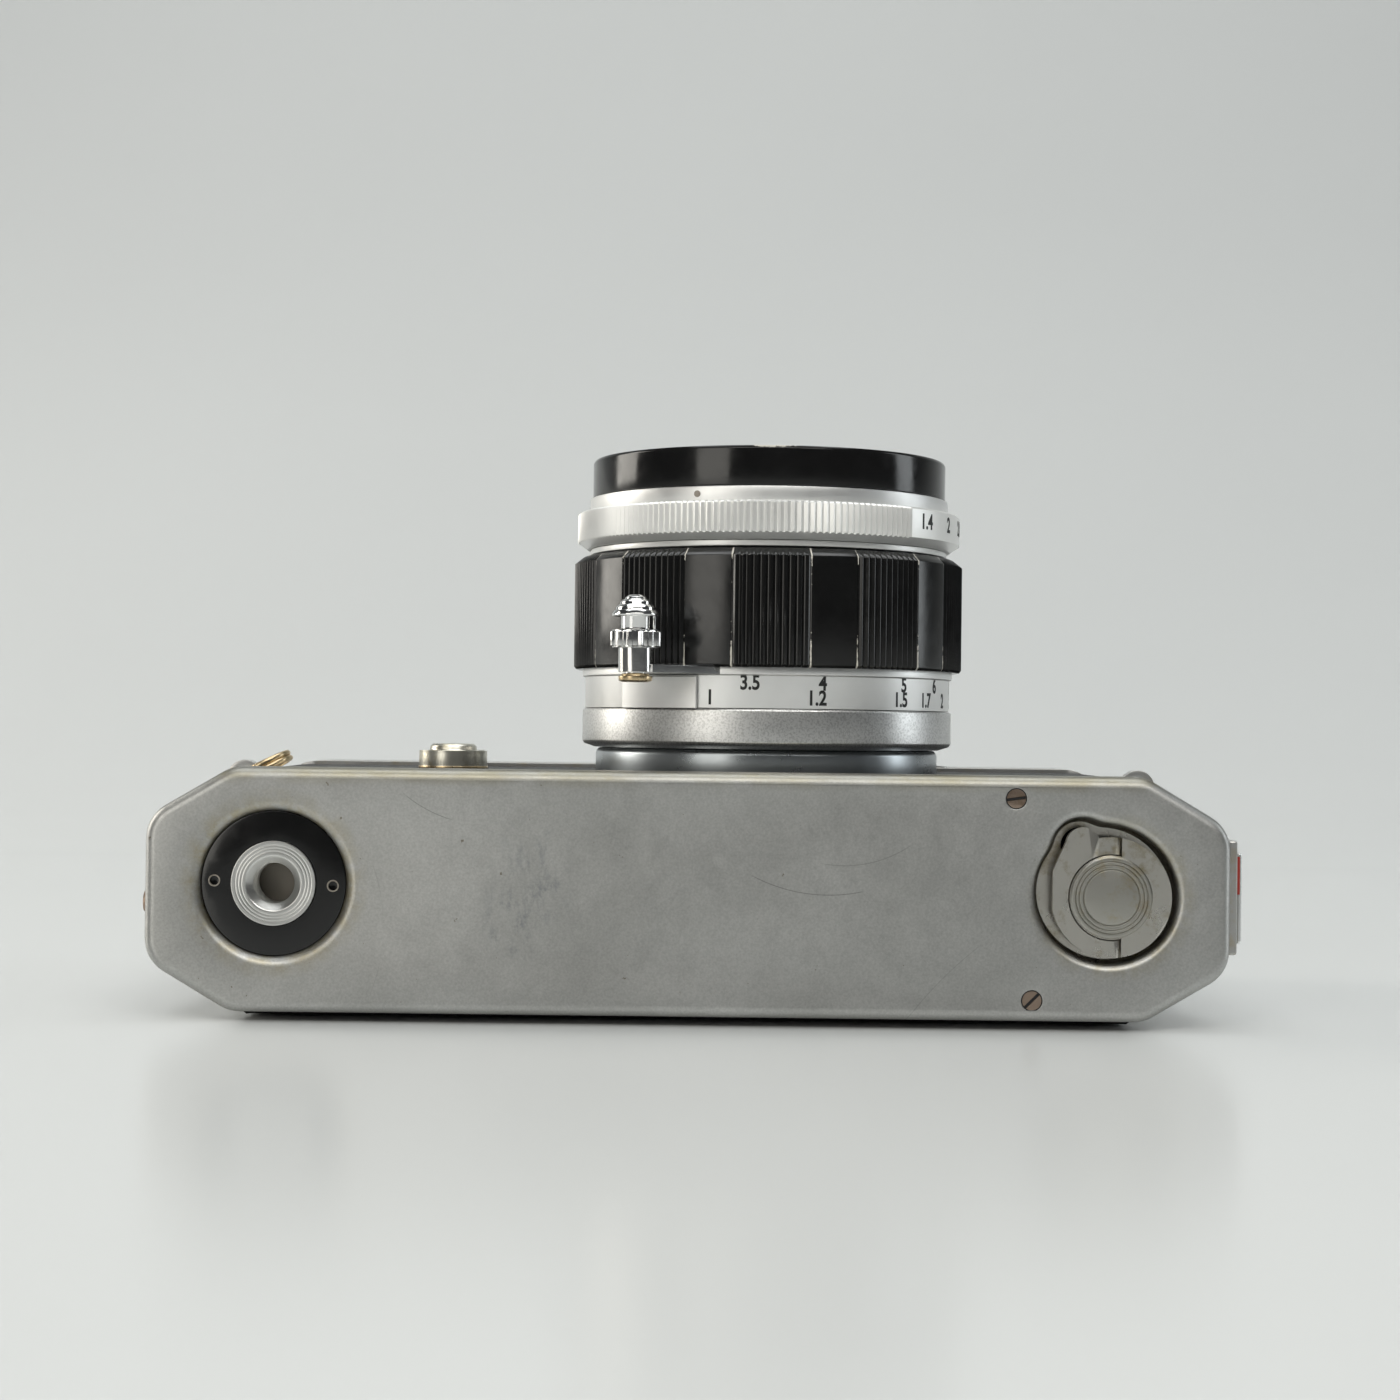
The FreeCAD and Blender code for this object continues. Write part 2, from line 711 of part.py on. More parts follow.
def side_latch():
    outer = half_width + d.latch_sheet
    blank = box("latch_blank", half_width, outer, d.latch_low_y, d.latch_high_y,
                d.latch_low_z, d.latch_high_z)
    slot = box("latch_slot", half_width - 1, outer + 1, -33.1, -26.8, 14.9, 17.3)
    node("latch_plate", cut("latch_plate", blank, slot))
    grip = box("slider_grip", outer + 0.05, half_width + d.slider_height, d.latch_low_y + 1, -28.4,
               d.latch_low_z + 1.4, d.latch_high_z - 1.6)
    tongue = box("slider_tongue", half_width + 0.1, outer + 0.5, -33, -30.2, 15, 17.2)
    node("latch_slider", fuse("latch_slider", [grip, tongue]))


def strap_lug(side):
    """An eyelet on a front corner; its hole runs along Y."""
    lean = math.atan2(SIZES["corner_z"], SIZES["corner_x"])
    centre_x = side * d.lug_hole_x
    turn = FreeCAD.Rotation(V(0, 1, 0), math.degrees(side * lean))
    body = doc.addObject("PartDesign::Body", "strap_lug")
    place(body, centre_x, d.lug_y - d.lug_sheet / 2, d.lug_hole_z, turn)
    seat = -2.95
    pad(body, "XZ_Plane", 0, d.lug_sheet, circle=(0, 0, d.lug_radius))
    pad(body, "XZ_Plane", 0, d.lug_sheet, polygon=rectangle(-2.1, 2.1, seat + 0.2, -1))
    pad(body, "XY_Plane", seat, 0.7, circle=(0, d.lug_sheet / 2, 3.0))
    pocket(body, "XZ_Plane", -1, d.lug_sheet + 2, circles=[(0, 0, d.lug_hole_radius)])
    return body


def strap_ring(name, side, lean):
    """Two turns of wire through a lug's hole.

    The ring's plane holds the Y axis, and lean is its angle in degrees above the
    horizontal that points away from the body.
    """
    away_x = side * math.cos(math.radians(lean))
    away_z = math.sin(math.radians(lean))
    turn = FreeCAD.Rotation(V(0, 1, 0), math.degrees(math.atan2(-away_z, away_x)))
    turns = []
    for layer in (-1, 1):
        offset = layer * 0.42
        wire = doc.addObject("Part::Torus", name + "_turn")
        bind(wire, "Radius1", d.strap_ring_radius)
        bind(wire, "Radius2", d.strap_wire_radius)
        place(wire, side * d.lug_hole_x + d.strap_ring_radius * away_x - offset * away_z, d.lug_y,
              d.lug_hole_z + d.strap_ring_radius * away_z + offset * away_x, turn)
        turns.append(wire)
    node(name, fuse(name, turns))


# ---------------------------------------------------------------- top cover and finder

def top_cover():
    low = d.cover_low_y
    wall = d.sheet_wall
    deck = d.deck_y - low
    roof = top_y - low
    left = d.housing_left_x
    right = d.housing_right_x
    body = new_body("top_cover", 0, low, 0)
    shell = pad(body, "XZ_Plane", 0, deck, polygon=octagon(0))
    shell = round_edges(body, shell, runs_along(V(0, 1, 0)), d.corner_round)
    housing = rectangle(left, right, d.plate_lift, plate_front)
    shell = pad(body, "XZ_Plane", deck - 1, roof - deck + 1, polygon=housing)
    shell = round_edges(body, shell, lies_at_y(SIZES["body_height"] / 2 - SIZES["cover_low_y"]), 1.0)
    pocket(body, "XZ_Plane", 0, deck - wall, polygon=octagon(wall))
    attic = rectangle(left + wall, right - wall, d.plate_lift + wall, plate_front - wall)
    pocket(body, "XZ_Plane", deck - wall, roof - deck, polygon=attic)
    gap = d.running_gap
    deck_holes = [(d.wind_x, d.wind_z, d.shaft_radius + gap), (d.dial_x, d.wind_z, d.shaft_radius + gap),
                  (d.key_x, d.key_z, d.shaft_radius + gap), (d.button_x, d.button_z, d.button_radius + gap),
                  (counter_x, counter_z - 3.1, 0.9)]
    pocket(body, "XZ_Plane", deck - wall - 0.5, wall + 1, circles=deck_holes)
    selector = (d.selector_x, d.selector_z, d.selector_radius + 0.08)
    pocket(body, "XZ_Plane", roof - wall - 0.5, wall + 1, circles=[selector])
    pocket(body, "XZ_Plane", roof - wall - 0.5, wall + 1, polygon=rectangle(2, 20, 12, 19))
    for x, width, y, height in (FINDER_WINDOW, RANGE_WINDOW, METER_WINDOW):
        frame = centred(as_size(x), y - low, width, height)
        pocket(body, "XY_Plane", plate_front - wall - 0.5, wall + 1, polygon=frame)
    eyepiece_hole = (d.selector_x, FINDER_WINDOW[2] - low, 5.0)
    pocket(body, "XY_Plane", 0, d.plate_lift + wall + 1, circles=[eyepiece_hole])


# centre x, width, centre y, height of each front window
FINDER_WINDOW = (33.5, 11.0, 30.5, 8.6)
RANGE_WINDOW = (-5.5, 5.4, 30.5, 5.4)
METER_WINDOW = (12.5, 25.0, 30.5, 11.0)


def front_window(name, window):
    """A pane that fills its opening, with a rim behind the sheet."""
    x, width, y, height = window
    sill = plate_front - d.sheet_wall
    rim = box(name + "_rim", as_size(x) - width / 2 - 0.8, as_size(x) + width / 2 + 0.8,
              as_size(y) - height / 2 - 0.8, as_size(y) + height / 2 + 0.8, sill - 0.6, sill)
    pane = box(name + "_pane", as_size(x) - width / 2, as_size(x) + width / 2,
               as_size(y) - height / 2, as_size(y) + height / 2, sill - 0.6, plate_front - 0.2)
    return fuse(name, [rim, pane])


def finder_parts():
    group("finder_windows", [front_window("finder_pane", FINDER_WINDOW),
                             front_window("range_pane", RANGE_WINDOW)])
    node("meter_window", front_window("meter_window", METER_WINDOW))
    y = as_size(FINDER_WINDOW[2])
    turned_z("eyepiece", [(3.4, 0), (6.0, 0), (6.0, d.plate_lift), (5.0, d.plate_lift), (5.0, 4.0),
                          (3.4, 4.0)], d.selector_x, y)
    turned_z("eyepiece_lens", [(0, 1.0), (3.4, 1.0), (3.4, 3.0), (0, 3.0)], d.selector_x, y)
    back = 5.0
    front = plate_front - d.sheet_wall - 1.0
    finder = box("finder_block", d.selector_x - 5, d.selector_x + 5, y - 4.2, y + 4.2, back, front)
    range_x = as_size(RANGE_WINDOW[0])
    side = box("range_prism", range_x - 3, range_x + 3, y - 3, y + 3, 22, front)
    group("finder_prisms", [finder, side])
    meter_x = as_size(METER_WINDOW[0])
    cell = box("meter_cell", meter_x - 12, meter_x + 12, y - 5.5, y + 5.5, front - 1.5, front)
    movement = cylinder("meter_movement", "y", 6.0, 8.0, 11.0, 28.0, 15.5)
    group("meter_works", [cell, movement])
    pane = box("meter_scale_pane", 2, 20, top_y - 1.1, top_y - 0.3, 12, 19)
    rim = box("meter_scale_rim", 1, 21, top_y - 2.0, top_y - d.sheet_wall, 11, 20)
    node("meter_scale_glass", fuse("meter_scale_glass", [pane, rim]))
    pivot = cylinder("needle_pivot", "y", 0.6, 1.2, 11.0, 36.1, 15.5)
    pointer = box("needle_pointer", 10.8, 11.2, 36.8, 37.2, 15.5, 21.5)
    tail = box("needle_tail", 10.6, 11.4, 36.8, 37.2, 13.5, 15.5)
    node("meter_needle", fuse("meter_needle", [pivot, pointer, tail]))
    chassis = new_body("top_chassis", 0, d.casting_high_y + 0.3, 0)
    pad(chassis, "XZ_Plane", 0, 1.0, polygon=octagon(2.4))
    gap = d.running_gap
    pocket(chassis, "XZ_Plane", 0, 1.0, circles=[
        (d.key_x, d.key_z, d.shaft_radius + gap), (d.spool_x, d.spool_z, d.shaft_radius + gap),
        (d.sprocket_x, sprocket_z, 1.5 + gap)])


# ---------------------------------------------------------------- top controls

def wind_lever():
    turn = FreeCAD.Rotation(V(0, 1, 0), SIZES["wind_rest_angle"])
    body = new_body("wind_lever", d.wind_x, d.deck_y, d.wind_z, turn)
    reach = d.wind_reach
    pad(body, "XZ_Plane", 0.2, 3.6, circle=(0, 0, d.wind_hub_radius))
    pad(body, "XZ_Plane", 0.7, 2.6, polygon=[
        (0, -7.6), (reach / 2, -4.6), (reach - 2.5, -3.4), (reach, 0), (reach - 2.5, 3.4),
        (reach / 2, 4.3), (0, 7.6)])
    pad(body, "XZ_Plane", -6, 6.5, circle=(0, 0, d.shaft_radius))


def frame_counter():
    high = d.deck_y - d.sheet_wall - 0.2
    turned_y("frame_counter", [(0, high - 0.8), (4.2, high - 0.8), (4.2, high), (0, high)],
             counter_x, counter_z)


def release():
    deck = d.deck_y
    turned_y("release_collar", ring_profile(d.button_radius + 0.6, d.collar_radius,
                                            deck + 0.1, deck + 2.5), d.button_x, d.button_z)
    cap = deck + 4.4
    turned_y("shutter_button", [(0, deck - 7), (d.button_radius, deck - 7), (d.button_radius, cap),
                                (3.2, cap), (3.2, cap + 0.7), (2.7, cap + 1.1), (1.6, cap + 0.7),
                                (0, cap + 0.6)], d.button_x, d.button_z)


def dials():
    deck = d.deck_y
    turned_y("speed_dial", [(0, deck - 5), (d.shaft_radius, deck - 5), (d.shaft_radius, deck + 0.2),
                            (d.dial_radius, deck + 0.2), (d.dial_radius, deck + 4.3),
                            (d.dial_radius - 0.6, deck + 4.8), (0, deck + 4.8)], d.dial_x, d.wind_z)
    flange = d.selector_radius + 0.9
    turned_y("frame_selector", [(0, top_y - 3), (flange, top_y - 3), (flange, top_y - 1.6),
                                (d.selector_radius, top_y - 1.6), (d.selector_radius, top_y - 0.1),
                                (0, top_y - 0.1)], d.selector_x, d.selector_z)


def rewind():
    deck = d.deck_y
    inside_top = d.casting_high_y - 2.2
    turned = turned_y("rewind_knob", [
        (0, inside_top - 5), (3.4, inside_top - 5), (3.4, inside_top), (d.shaft_radius, inside_top),
        (d.shaft_radius, deck + 0.2), (d.knob_radius, deck + 0.2), (d.knob_radius, deck + 2.8),
        (d.knob_radius - 0.6, deck + 3.3), (0, deck + 3.3)], d.key_x, d.key_z)
    for side in (-1, 1):
        ear = rectangle(-1.4, 0.4, as_size(side * 3.3) - 0.5, as_size(side * 3.3) + 0.5)
        pad(turned, "XZ_Plane", deck + 3.2, 2.2, polygon=ear)
    pin_y = deck + 4.5
    pocket(turned, "XY_Plane", -5, 10, circles=[(-0.5, pin_y, 0.5 + d.running_gap)])
    blade = rectangle(-0.6, 0.6, -4.2, 4.2)
    pad(turned, "XZ_Plane", inside_top - 7, 2.2, polygon=blade)

    arm = box("crank_arm", d.key_x - 1.3, d.key_x + d.crank_reach, pin_y - 0.6, pin_y + 0.6,
              d.key_z - 2.6, d.key_z + 2.6)
    pin = cylinder("crank_pin", "z", 0.5, 7.4, d.key_x - 0.5, pin_y, d.key_z - 3.7)
    grip = cylinder("crank_grip", "y", 2.0, 1.4, d.key_x + 6.2, pin_y, d.key_z)
    node("rewind_crank", fuse("rewind_crank", [arm, pin, grip]))


def self_timer():
    body = new_body("self_timer", d.timer_x, d.timer_y, 0)
    low = casting_front + 0.4
    reach = d.timer_reach
    revolve(body, "XZ_Plane", [(0, low - 3), (1.4, low - 3), (1.4, low), (d.timer_radius, low),
                               (d.timer_radius, low + 2.45), (3.4, low + 2.45), (2.95, low + 3.4),
                               (0, low + 3.4)])
    pad(body, "XY_Plane", low + 1.3, 1.1, polygon=[
        (-2.8, 0), (-2.2, reach - 6), (-3.0, reach - 2.5), (0, reach), (3.0, reach - 2.5),
        (2.2, reach - 6), (2.8, 0)])


# ---------------------------------------------------------------- lens

def fixed_lens_parts():
    x = d.lens_x
    y = d.lens_y
    flange = d.flange_z
    turned_z("body_mount", ring_profile(d.mount_bore, d.mount_radius, casting_front, flange - 0.1), x, y)
    tail = d.mount_bore - 0.05
    turned_z("lens_base_ring", [
        (18.4, casting_front), (tail, casting_front), (tail, flange), (25.4, flange),
        (d.base_ring_radius, flange + 0.9), (d.base_ring_radius, d.base_ring_top),
        (d.guide_radius, d.base_ring_top), (d.guide_radius, d.grip_top - 3),
        (d.guide_bore, d.grip_top - 3), (d.guide_bore, flange + 1.2), (18.4, flange + 1.2)], x, y)
    inner = d.scale_radius + 0.15
    tab = new_body("infinity_catch", x, y, d.base_ring_top)
    revolve(tab, "XZ_Plane", ring_profile(inner, inner + 0.5, 0, d.scale_top - d.base_ring_top - 0.3))
    wedge = [(0, 0), (-60, -51.6), (-60, 60), (60, 60), (60, 0), (60, -60), (-24.5, -60)]
    pocket(tab, "XY_Plane", -1, 8, polygon=wedge)


def focus_parts():
    x = d.lens_x
    y = d.lens_y
    bore = d.guide_radius + d.running_gap
    gap = 0.1
    turned_z("distance_ring", [
        (bore, d.base_ring_top + gap), (d.scale_radius, d.base_ring_top + gap),
        (d.scale_radius, d.scale_top), (d.grip_flange_radius, d.scale_top),
        (d.grip_flange_radius, d.grip_flange_top), (bore, d.grip_flange_top)], x, y)
    low = d.grip_flange_top
    half_section = FreeCAD.Rotation(V(0, 0, 1), SIZES["grip_turn"])
    grip = new_body("focus_ring", x, y, 0, half_section)
    revolve(grip, "XZ_Plane", [
        (bore, low), (d.grip_radius - 0.3, low), (d.grip_radius, low + 0.3),
        (d.grip_radius, d.grip_top - 1.0), (d.grip_radius - 1.3, d.grip_top), (bore, d.grip_top)])
    flat = new_sketch(grip, "XY_Plane", low - 1)
    draw_polygon(flat, rectangle(-3.4, 3.4, -d.grip_radius - 2, -d.grip_radius + 0.25))
    cutter = add_feature(grip, "Pocket", flat, 30, True)
    around = grip.newObject("PartDesign::PolarPattern", "focus_ring_flats")
    around.Originals = [cutter]
    around.Axis = (flat, ["N_Axis"])
    around.Angle = 360
    around.Occurrences = int(SIZES["grip_sections"])
    bind(around, "Occurrences", d.grip_sections)
    grip.Tip = around
    doc.recompute()


def infinity_lock():
    arm_low = d.scale_top
    arm_top = d.grip_flange_top + 0.04
    lock_angle = math.atan2(SIZES["lock_y"] - SIZES["lens_y"], SIZES["lock_x"] - SIZES["lens_x"])
    root = SIZES["grip_flange_radius"] - 2.5
    inner_x = SIZES["lens_x"] + root * math.cos(lock_angle)
    inner_y = SIZES["lens_y"] + root * math.sin(lock_angle)
    side_x = -math.sin(lock_angle)
    side_y = math.cos(lock_angle)
    arm = new_body("lock_arm", 0, 0, 0)
    pad(arm, "XY_Plane", arm_low, arm_top - arm_low, polygon=[
        (as_size(inner_x - 4.5 * side_x), as_size(inner_y - 4.5 * side_y)),
        (as_size(inner_x + 7.5 * side_x), as_size(inner_y + 7.5 * side_y)),
        (d.lock_x + 2.6 * side_x, d.lock_y + 2.6 * side_y),
        (d.lock_x - 2.6 * side_x, d.lock_y - 2.6 * side_y)])
    pad(arm, "XY_Plane", arm_low, 3.25, circle=(d.lock_x, d.lock_y, 2.25))
    pad(arm, "XY_Plane", arm_low + 3.2, 2.3, circle=(d.lock_x, d.lock_y, 3.1))
    pocket(arm, "XY_Plane", arm_low - 1, 9, circles=[(d.lock_x, d.lock_y, 1.5)])
    pocket(arm, "XY_Plane", arm_low + 3.3, 3, circles=[(d.lock_x, d.lock_y, 2.02)])
    ring_clearance = (d.lens_x, d.lens_y, d.grip_flange_radius)
    pocket(arm, "XY_Plane", arm_low - 1, arm_top - arm_low + 1, circles=[ring_clearance])
    above = (d.lens_x, d.lens_y, d.grip_radius)
    pocket(arm, "XY_Plane", arm_top - 0.04, 12, circles=[above])
    dome_low = arm_low + 7.3
    turned_z("lock_button", [
        (0, arm_low - 1.3), (2.25, arm_low - 1.3), (2.25, arm_low - 0.1), (1.44, arm_low - 0.1),
        (1.44, arm_low + 5.6), (1.95, arm_low + 5.6), (1.95, dome_low), (3.15, dome_low),
        (3.15, dome_low + 0.5), (2.7, dome_low + 0.8), (2.7, dome_low + 1.3), (2.1, dome_low + 1.6),
        (2.1, dome_low + 2.0), (1.3, dome_low + 2.4), (0.8, dome_low + 2.8), (0, dome_low + 2.9)],
        d.lock_x, d.lock_y)


def front_parts():
    x = d.lens_x
    y = d.lens_y
    tube = d.guide_bore - d.running_gap
    neck = d.aperture_bore - d.running_gap
    turned_z("front_barrel", [
        (18.6, d.flange_z + 1.5), (tube, d.flange_z + 1.5), (tube, d.band_low), (d.band_radius, d.band_low),
        (d.band_radius, d.aperture_low - 0.1), (neck, d.aperture_low - 0.1),
        (neck, d.aperture_top + 0.1), (20.2, d.aperture_top + 0.1), (20.2, 64.4), (18.6, 64.4),
        (18.6, 56), (12, 56), (12, 52), (18.6, 52)], x, y)
    turned_z("index_band", ring_profile(20.2, 25.6, d.aperture_top + 0.1, d.rim_low), x, y)
    turned_z("aperture_ring", [
        (d.aperture_bore, d.aperture_low), (25.9, d.aperture_low), (d.aperture_radius, d.aperture_low + 1.2),
        (d.aperture_radius, d.aperture_top - 0.3), (d.aperture_radius - 0.4, d.aperture_top),
        (d.aperture_bore, d.aperture_top)], x, y)
    name_low = d.rim_low + 1.0
    name_seat = d.filter_radius - 0.25
    turned_z("filter_rim", [
        (20.2, d.rim_low), (d.rim_radius, d.rim_low), (d.rim_radius, d.rim_top - 0.3),
        (d.rim_radius - 0.3, d.rim_top), (d.filter_radius, d.rim_top), (d.filter_radius, d.rim_low + 1.6),
        (name_seat, d.rim_low + 1.6), (name_seat, name_low), (20.2, name_low)], x, y)
    name_edge = name_seat - d.running_gap
    turned_z("name_ring", [
        (18.9, 69.3), (20.1, 69.3), (20.1, name_low), (name_edge, name_low), (name_edge, name_low + 0.5),
        (18.9, name_low + 0.3)], x, y)
    turned_z("front_element", [
        (0, 64.5), (19.6, 64.5), (19.6, 68.3), (16.0, 69.8), (10.0, 71.3), (5.0, 72.0), (0, 72.2)], x, y)
    rear_edge = 18.6 - d.running_gap
    turned_z("rear_element", [
        (0, 38.2), (9.0, 38.9), (14.0, 39.8), (rear_edge, 39.8), (rear_edge, 43.5), (0, 43.5)], x, y)


sprocket_z = d.film_plane_z - 0.65 + d.sprocket_radius
counter_x = as_size(-43)
counter_z = as_size(8)

base_plate()
tripod_socket()
door_key()
case_screws()
body_casting()
chamber("supply_chamber", d.key_x, d.key_z, 30, 56)
chamber("take_up_chamber", d.spool_x, d.spool_z, -55, -36)
film_gate()
shutter_crate()
shutter_parts()
take_up_spool()
film_sprocket()
front_leatherette()
back_door()
door_fittings()
side_latch()
group("strap_lugs", [strap_lug(-1), strap_lug(1)])
strap_ring("strap_ring_left", -1, 153)
strap_ring("strap_ring_right", 1, -65)
top_cover()
finder_parts()
wind_lever()
frame_counter()
release()
dials()
rewind()
self_timer()
fixed_lens_parts()
focus_parts()
infinity_lock()
front_parts()
doc.recompute()

# ---------------------------------------------------------------- checks and files

for thing in doc.Objects:
    if "Invalid" in thing.State or "Error" in thing.State:
        raise RuntimeError("%s failed: %s" % (thing.Label, thing.State))
os.makedirs("parts", exist_ok=True)
for name, thing in parts.items():
    if thing.Shape.isNull() or not thing.Shape.isValid():
        raise RuntimeError(name + " has no valid shape")
for name, thing in parts.items():
    thing.Shape.exportStep("parts/%s.step" % name)
print(len(parts), "nodes")
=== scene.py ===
import math

import bmesh
import bpy
from mathutils import Matrix, Vector, noise


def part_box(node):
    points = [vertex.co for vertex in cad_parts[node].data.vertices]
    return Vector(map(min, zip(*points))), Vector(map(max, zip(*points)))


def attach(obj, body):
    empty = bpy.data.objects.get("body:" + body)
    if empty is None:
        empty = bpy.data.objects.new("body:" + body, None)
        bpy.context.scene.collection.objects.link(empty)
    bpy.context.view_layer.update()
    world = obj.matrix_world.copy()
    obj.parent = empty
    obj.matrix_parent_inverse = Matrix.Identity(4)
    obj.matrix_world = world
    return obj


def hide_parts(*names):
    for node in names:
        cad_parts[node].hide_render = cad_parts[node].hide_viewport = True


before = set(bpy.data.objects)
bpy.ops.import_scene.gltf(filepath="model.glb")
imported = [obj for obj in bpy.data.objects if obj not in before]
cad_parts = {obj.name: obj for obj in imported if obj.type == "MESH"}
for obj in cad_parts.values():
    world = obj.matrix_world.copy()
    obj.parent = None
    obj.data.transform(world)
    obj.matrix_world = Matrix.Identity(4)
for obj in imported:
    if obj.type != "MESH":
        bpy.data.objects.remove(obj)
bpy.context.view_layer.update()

# A rangefinder film camera lying on its back, seen from its base plate.
# Lengths are in metres; MM turns millimetres into metres.
MM = 0.001


# ------------------------------------------------------------------ places from the frame

def low(node):
    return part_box(node)[0]


def high(node):
    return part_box(node)[1]


def middle(node):
    return (low(node) + high(node)) / 2


def z_span(node):
    """Lowest and highest Z of a node, in millimetres."""
    return low(node).z / MM, high(node).z / MM


def radius_of(node):
    """Radius of a round node whose axis is along Z or Y, from its width in X."""
    return (high(node).x - low(node).x) / 2


LENS = middle("filter_rim")
BASE_Y = low("base_plate").y
PLATE_BACK = low("base_plate").z
PLATE_FRONT = high("base_plate").z
HALF_WIDTH = high("base_plate").x
CORNER_X = 11 * MM
CORNER_Z = 6.5 * MM
CORNER_ROUND = 5 * MM
PLATE_LIP = 1.5 * MM
SHEET = 1.2 * MM
SOCKET = middle("tripod_bush")
KEY = Vector((54.57, 0, 17.1)) * MM
TIMER = Vector((-34.2, -2.5, 0)) * MM
# Each base screw: its name, X, Z and the turn of its slot in degrees.
BASE_SCREWS = (("front", 42.18, 29.69, 8), ("back", 44.41, 3.75, 45))
SCREW_HOLE = 1.36
# The recess of the door key: X, Z and radius of three discs that join smoothly.
WELL_DISCS = ((54.57, 17.1, 8.45), (53.5, 17.7, 8.75), (50.7, 23.6, 3.62))
# The grip has ten sections of 36 degrees; ribs reach this far each side of a section's middle.
SECTION = 36.0
HALF_RIBS = 11.1
RIBS_TURN = -0.4
SCALE_RADIUS = 26.0


# ------------------------------------------------------------------ materials

def new_material(name):
    material = bpy.data.materials.new(name)
    material.use_nodes = True
    tree = material.node_tree
    shader = tree.nodes["Principled BSDF"]
    return material, tree, shader


def add_node(tree, kind, **inputs):
    node = tree.nodes.new("ShaderNode" + kind)
    for key, value in inputs.items():
        node.inputs[key.replace("_", " ")].default_value = value
    return node


def object_place(tree):
    return tree.nodes.new("ShaderNodeTexCoord").outputs["Object"]


def object_axes(tree):
    """The X, Y and Z of the point being shaded."""
    parts = add_node(tree, "SeparateXYZ")
    tree.links.new(object_place(tree), parts.inputs["Vector"])
    return parts.outputs


def noise_node(tree, scale, detail=4.0, roughness=0.55, stretch=(1, 1, 1)):
    """Noise in object space, in metres; stretch squeezes it along an axis."""
    mapping = add_node(tree, "Mapping", Scale=stretch)
    texture = add_node(tree, "TexNoise", Scale=scale, Detail=detail, Roughness=roughness)
    tree.links.new(object_place(tree), mapping.inputs["Vector"])
    tree.links.new(mapping.outputs["Vector"], texture.inputs["Vector"])
    return texture.outputs["Fac"]


def ramp(tree, factor, stops):
    node = add_node(tree, "ValToRGB")
    elements = node.color_ramp.elements
    while len(elements) < len(stops):
        elements.new(0.5)
    for element, (position, colour) in zip(elements, stops):
        element.position = position
        element.color = (*colour, 1)
    tree.links.new(factor, node.inputs["Fac"])
    return node.outputs["Color"]


def grey(value):
    return (value, value, value)


def patches(tree, scale, detail, roughness, start, end, strength=1.0, stretch=(1, 1, 1)):
    """Noise turned into soft-edged patches between two noise levels."""
    factor = noise_node(tree, scale, detail, roughness, stretch)
    return ramp(tree, factor, [(start, grey(0)), (end, grey(strength))])


def bump(tree, shader, height, strength, distance):
    node = add_node(tree, "Bump", Strength=strength, Distance=distance)
    tree.links.new(height, node.inputs["Height"])
    tree.links.new(node.outputs["Normal"], shader.inputs["Normal"])


def math_node(tree, operation, *values):
    node = add_node(tree, "Math")
    node.operation = operation
    for socket, value in zip(node.inputs, values):
        if isinstance(value, (int, float)):
            socket.default_value = value
        else:
            tree.links.new(value, socket)
    return node.outputs["Value"]


def fade(tree, value, start, end, first, last):
    """The value mapped from one span to another, held at the ends."""
    node = add_node(tree, "MapRange", From_Min=start, From_Max=end, To_Min=first, To_Max=last)
    tree.links.new(value, node.inputs["Value"])
    return node.outputs["Result"]


def gap_between(tree, value, middle_value):
    return math_node(tree, "ABSOLUTE", math_node(tree, "SUBTRACT", value, middle_value))


def mix_colour(tree, mask, under, colour, second_mask=None):
    """The colour laid over what is under it, where the mask, or both masks, are bright."""
    if second_mask:
        mask = math_node(tree, "MULTIPLY", mask, second_mask)
    blend = add_node(tree, "MixRGB", Color2=(*colour, 1))
    tree.links.new(mask, blend.inputs["Fac"])
    tree.links.new(under, blend.inputs["Color1"])
    return blend.outputs["Color"]


def lens_angle_and_height(tree):
    """Degrees round the lens from the base side towards +X, and height above the back."""
    axes = object_axes(tree)
    across = math_node(tree, "SUBTRACT", axes["X"], LENS.x)
    along = math_node(tree, "SUBTRACT", LENS.y, axes["Y"])
    turn = math_node(tree, "ARCTAN2", across, along)
    return math_node(tree, "MULTIPLY", turn, 180 / math.pi), axes["Z"]


def grip_wear(tree):
    """Bare metal along the edges of the ribbed sections and at their ends."""
    angle, height = lens_angle_and_height(tree)
    turned_angle = math_node(tree, "ADD", angle, 360 - RIBS_TURN + SECTION / 2)
    local = math_node(tree, "MODULO", turned_angle, SECTION)
    from_edge = gap_between(tree, gap_between(tree, local, SECTION / 2), HALF_RIBS)
    near_edge = fade(tree, from_edge, 0.12, 0.75, 1, 0)
    low_end = fade(tree, height, 46.6 * MM, 52.0 * MM, 0.3, 0)
    high_end = fade(tree, height, 59.8 * MM, 61.6 * MM, 0, 0.2)
    spots = noise_node(tree, 1100, 6, 0.75)
    raised = math_node(tree, "ADD", spots, math_node(tree, "ADD", low_end, high_end))
    strength = math_node(tree, "MULTIPLY", raised, near_edge)
    return fade(tree, strength, 0.61, 0.65, 0, 1)


def rim_wear(tree):
    """Chipped enamel along the very top of the front rim."""
    angle, height = lens_angle_and_height(tree)
    worst = fade(tree, gap_between(tree, angle, -0.5), 3.0, 12.0, 0.13, 0.0)
    top = fade(tree, height, 75.55 * MM, 76.2 * MM, 0, 0.42)
    spots = noise_node(tree, 1300, 7, 0.75)
    strength = math_node(tree, "ADD", math_node(tree, "MULTIPLY", spots, top), worst)
    ends = fade(tree, height, 75.2 * MM, 75.75 * MM, 0, 1)
    return fade(tree, math_node(tree, "MULTIPLY", strength, ends), 0.25, 0.29, 0, 1)


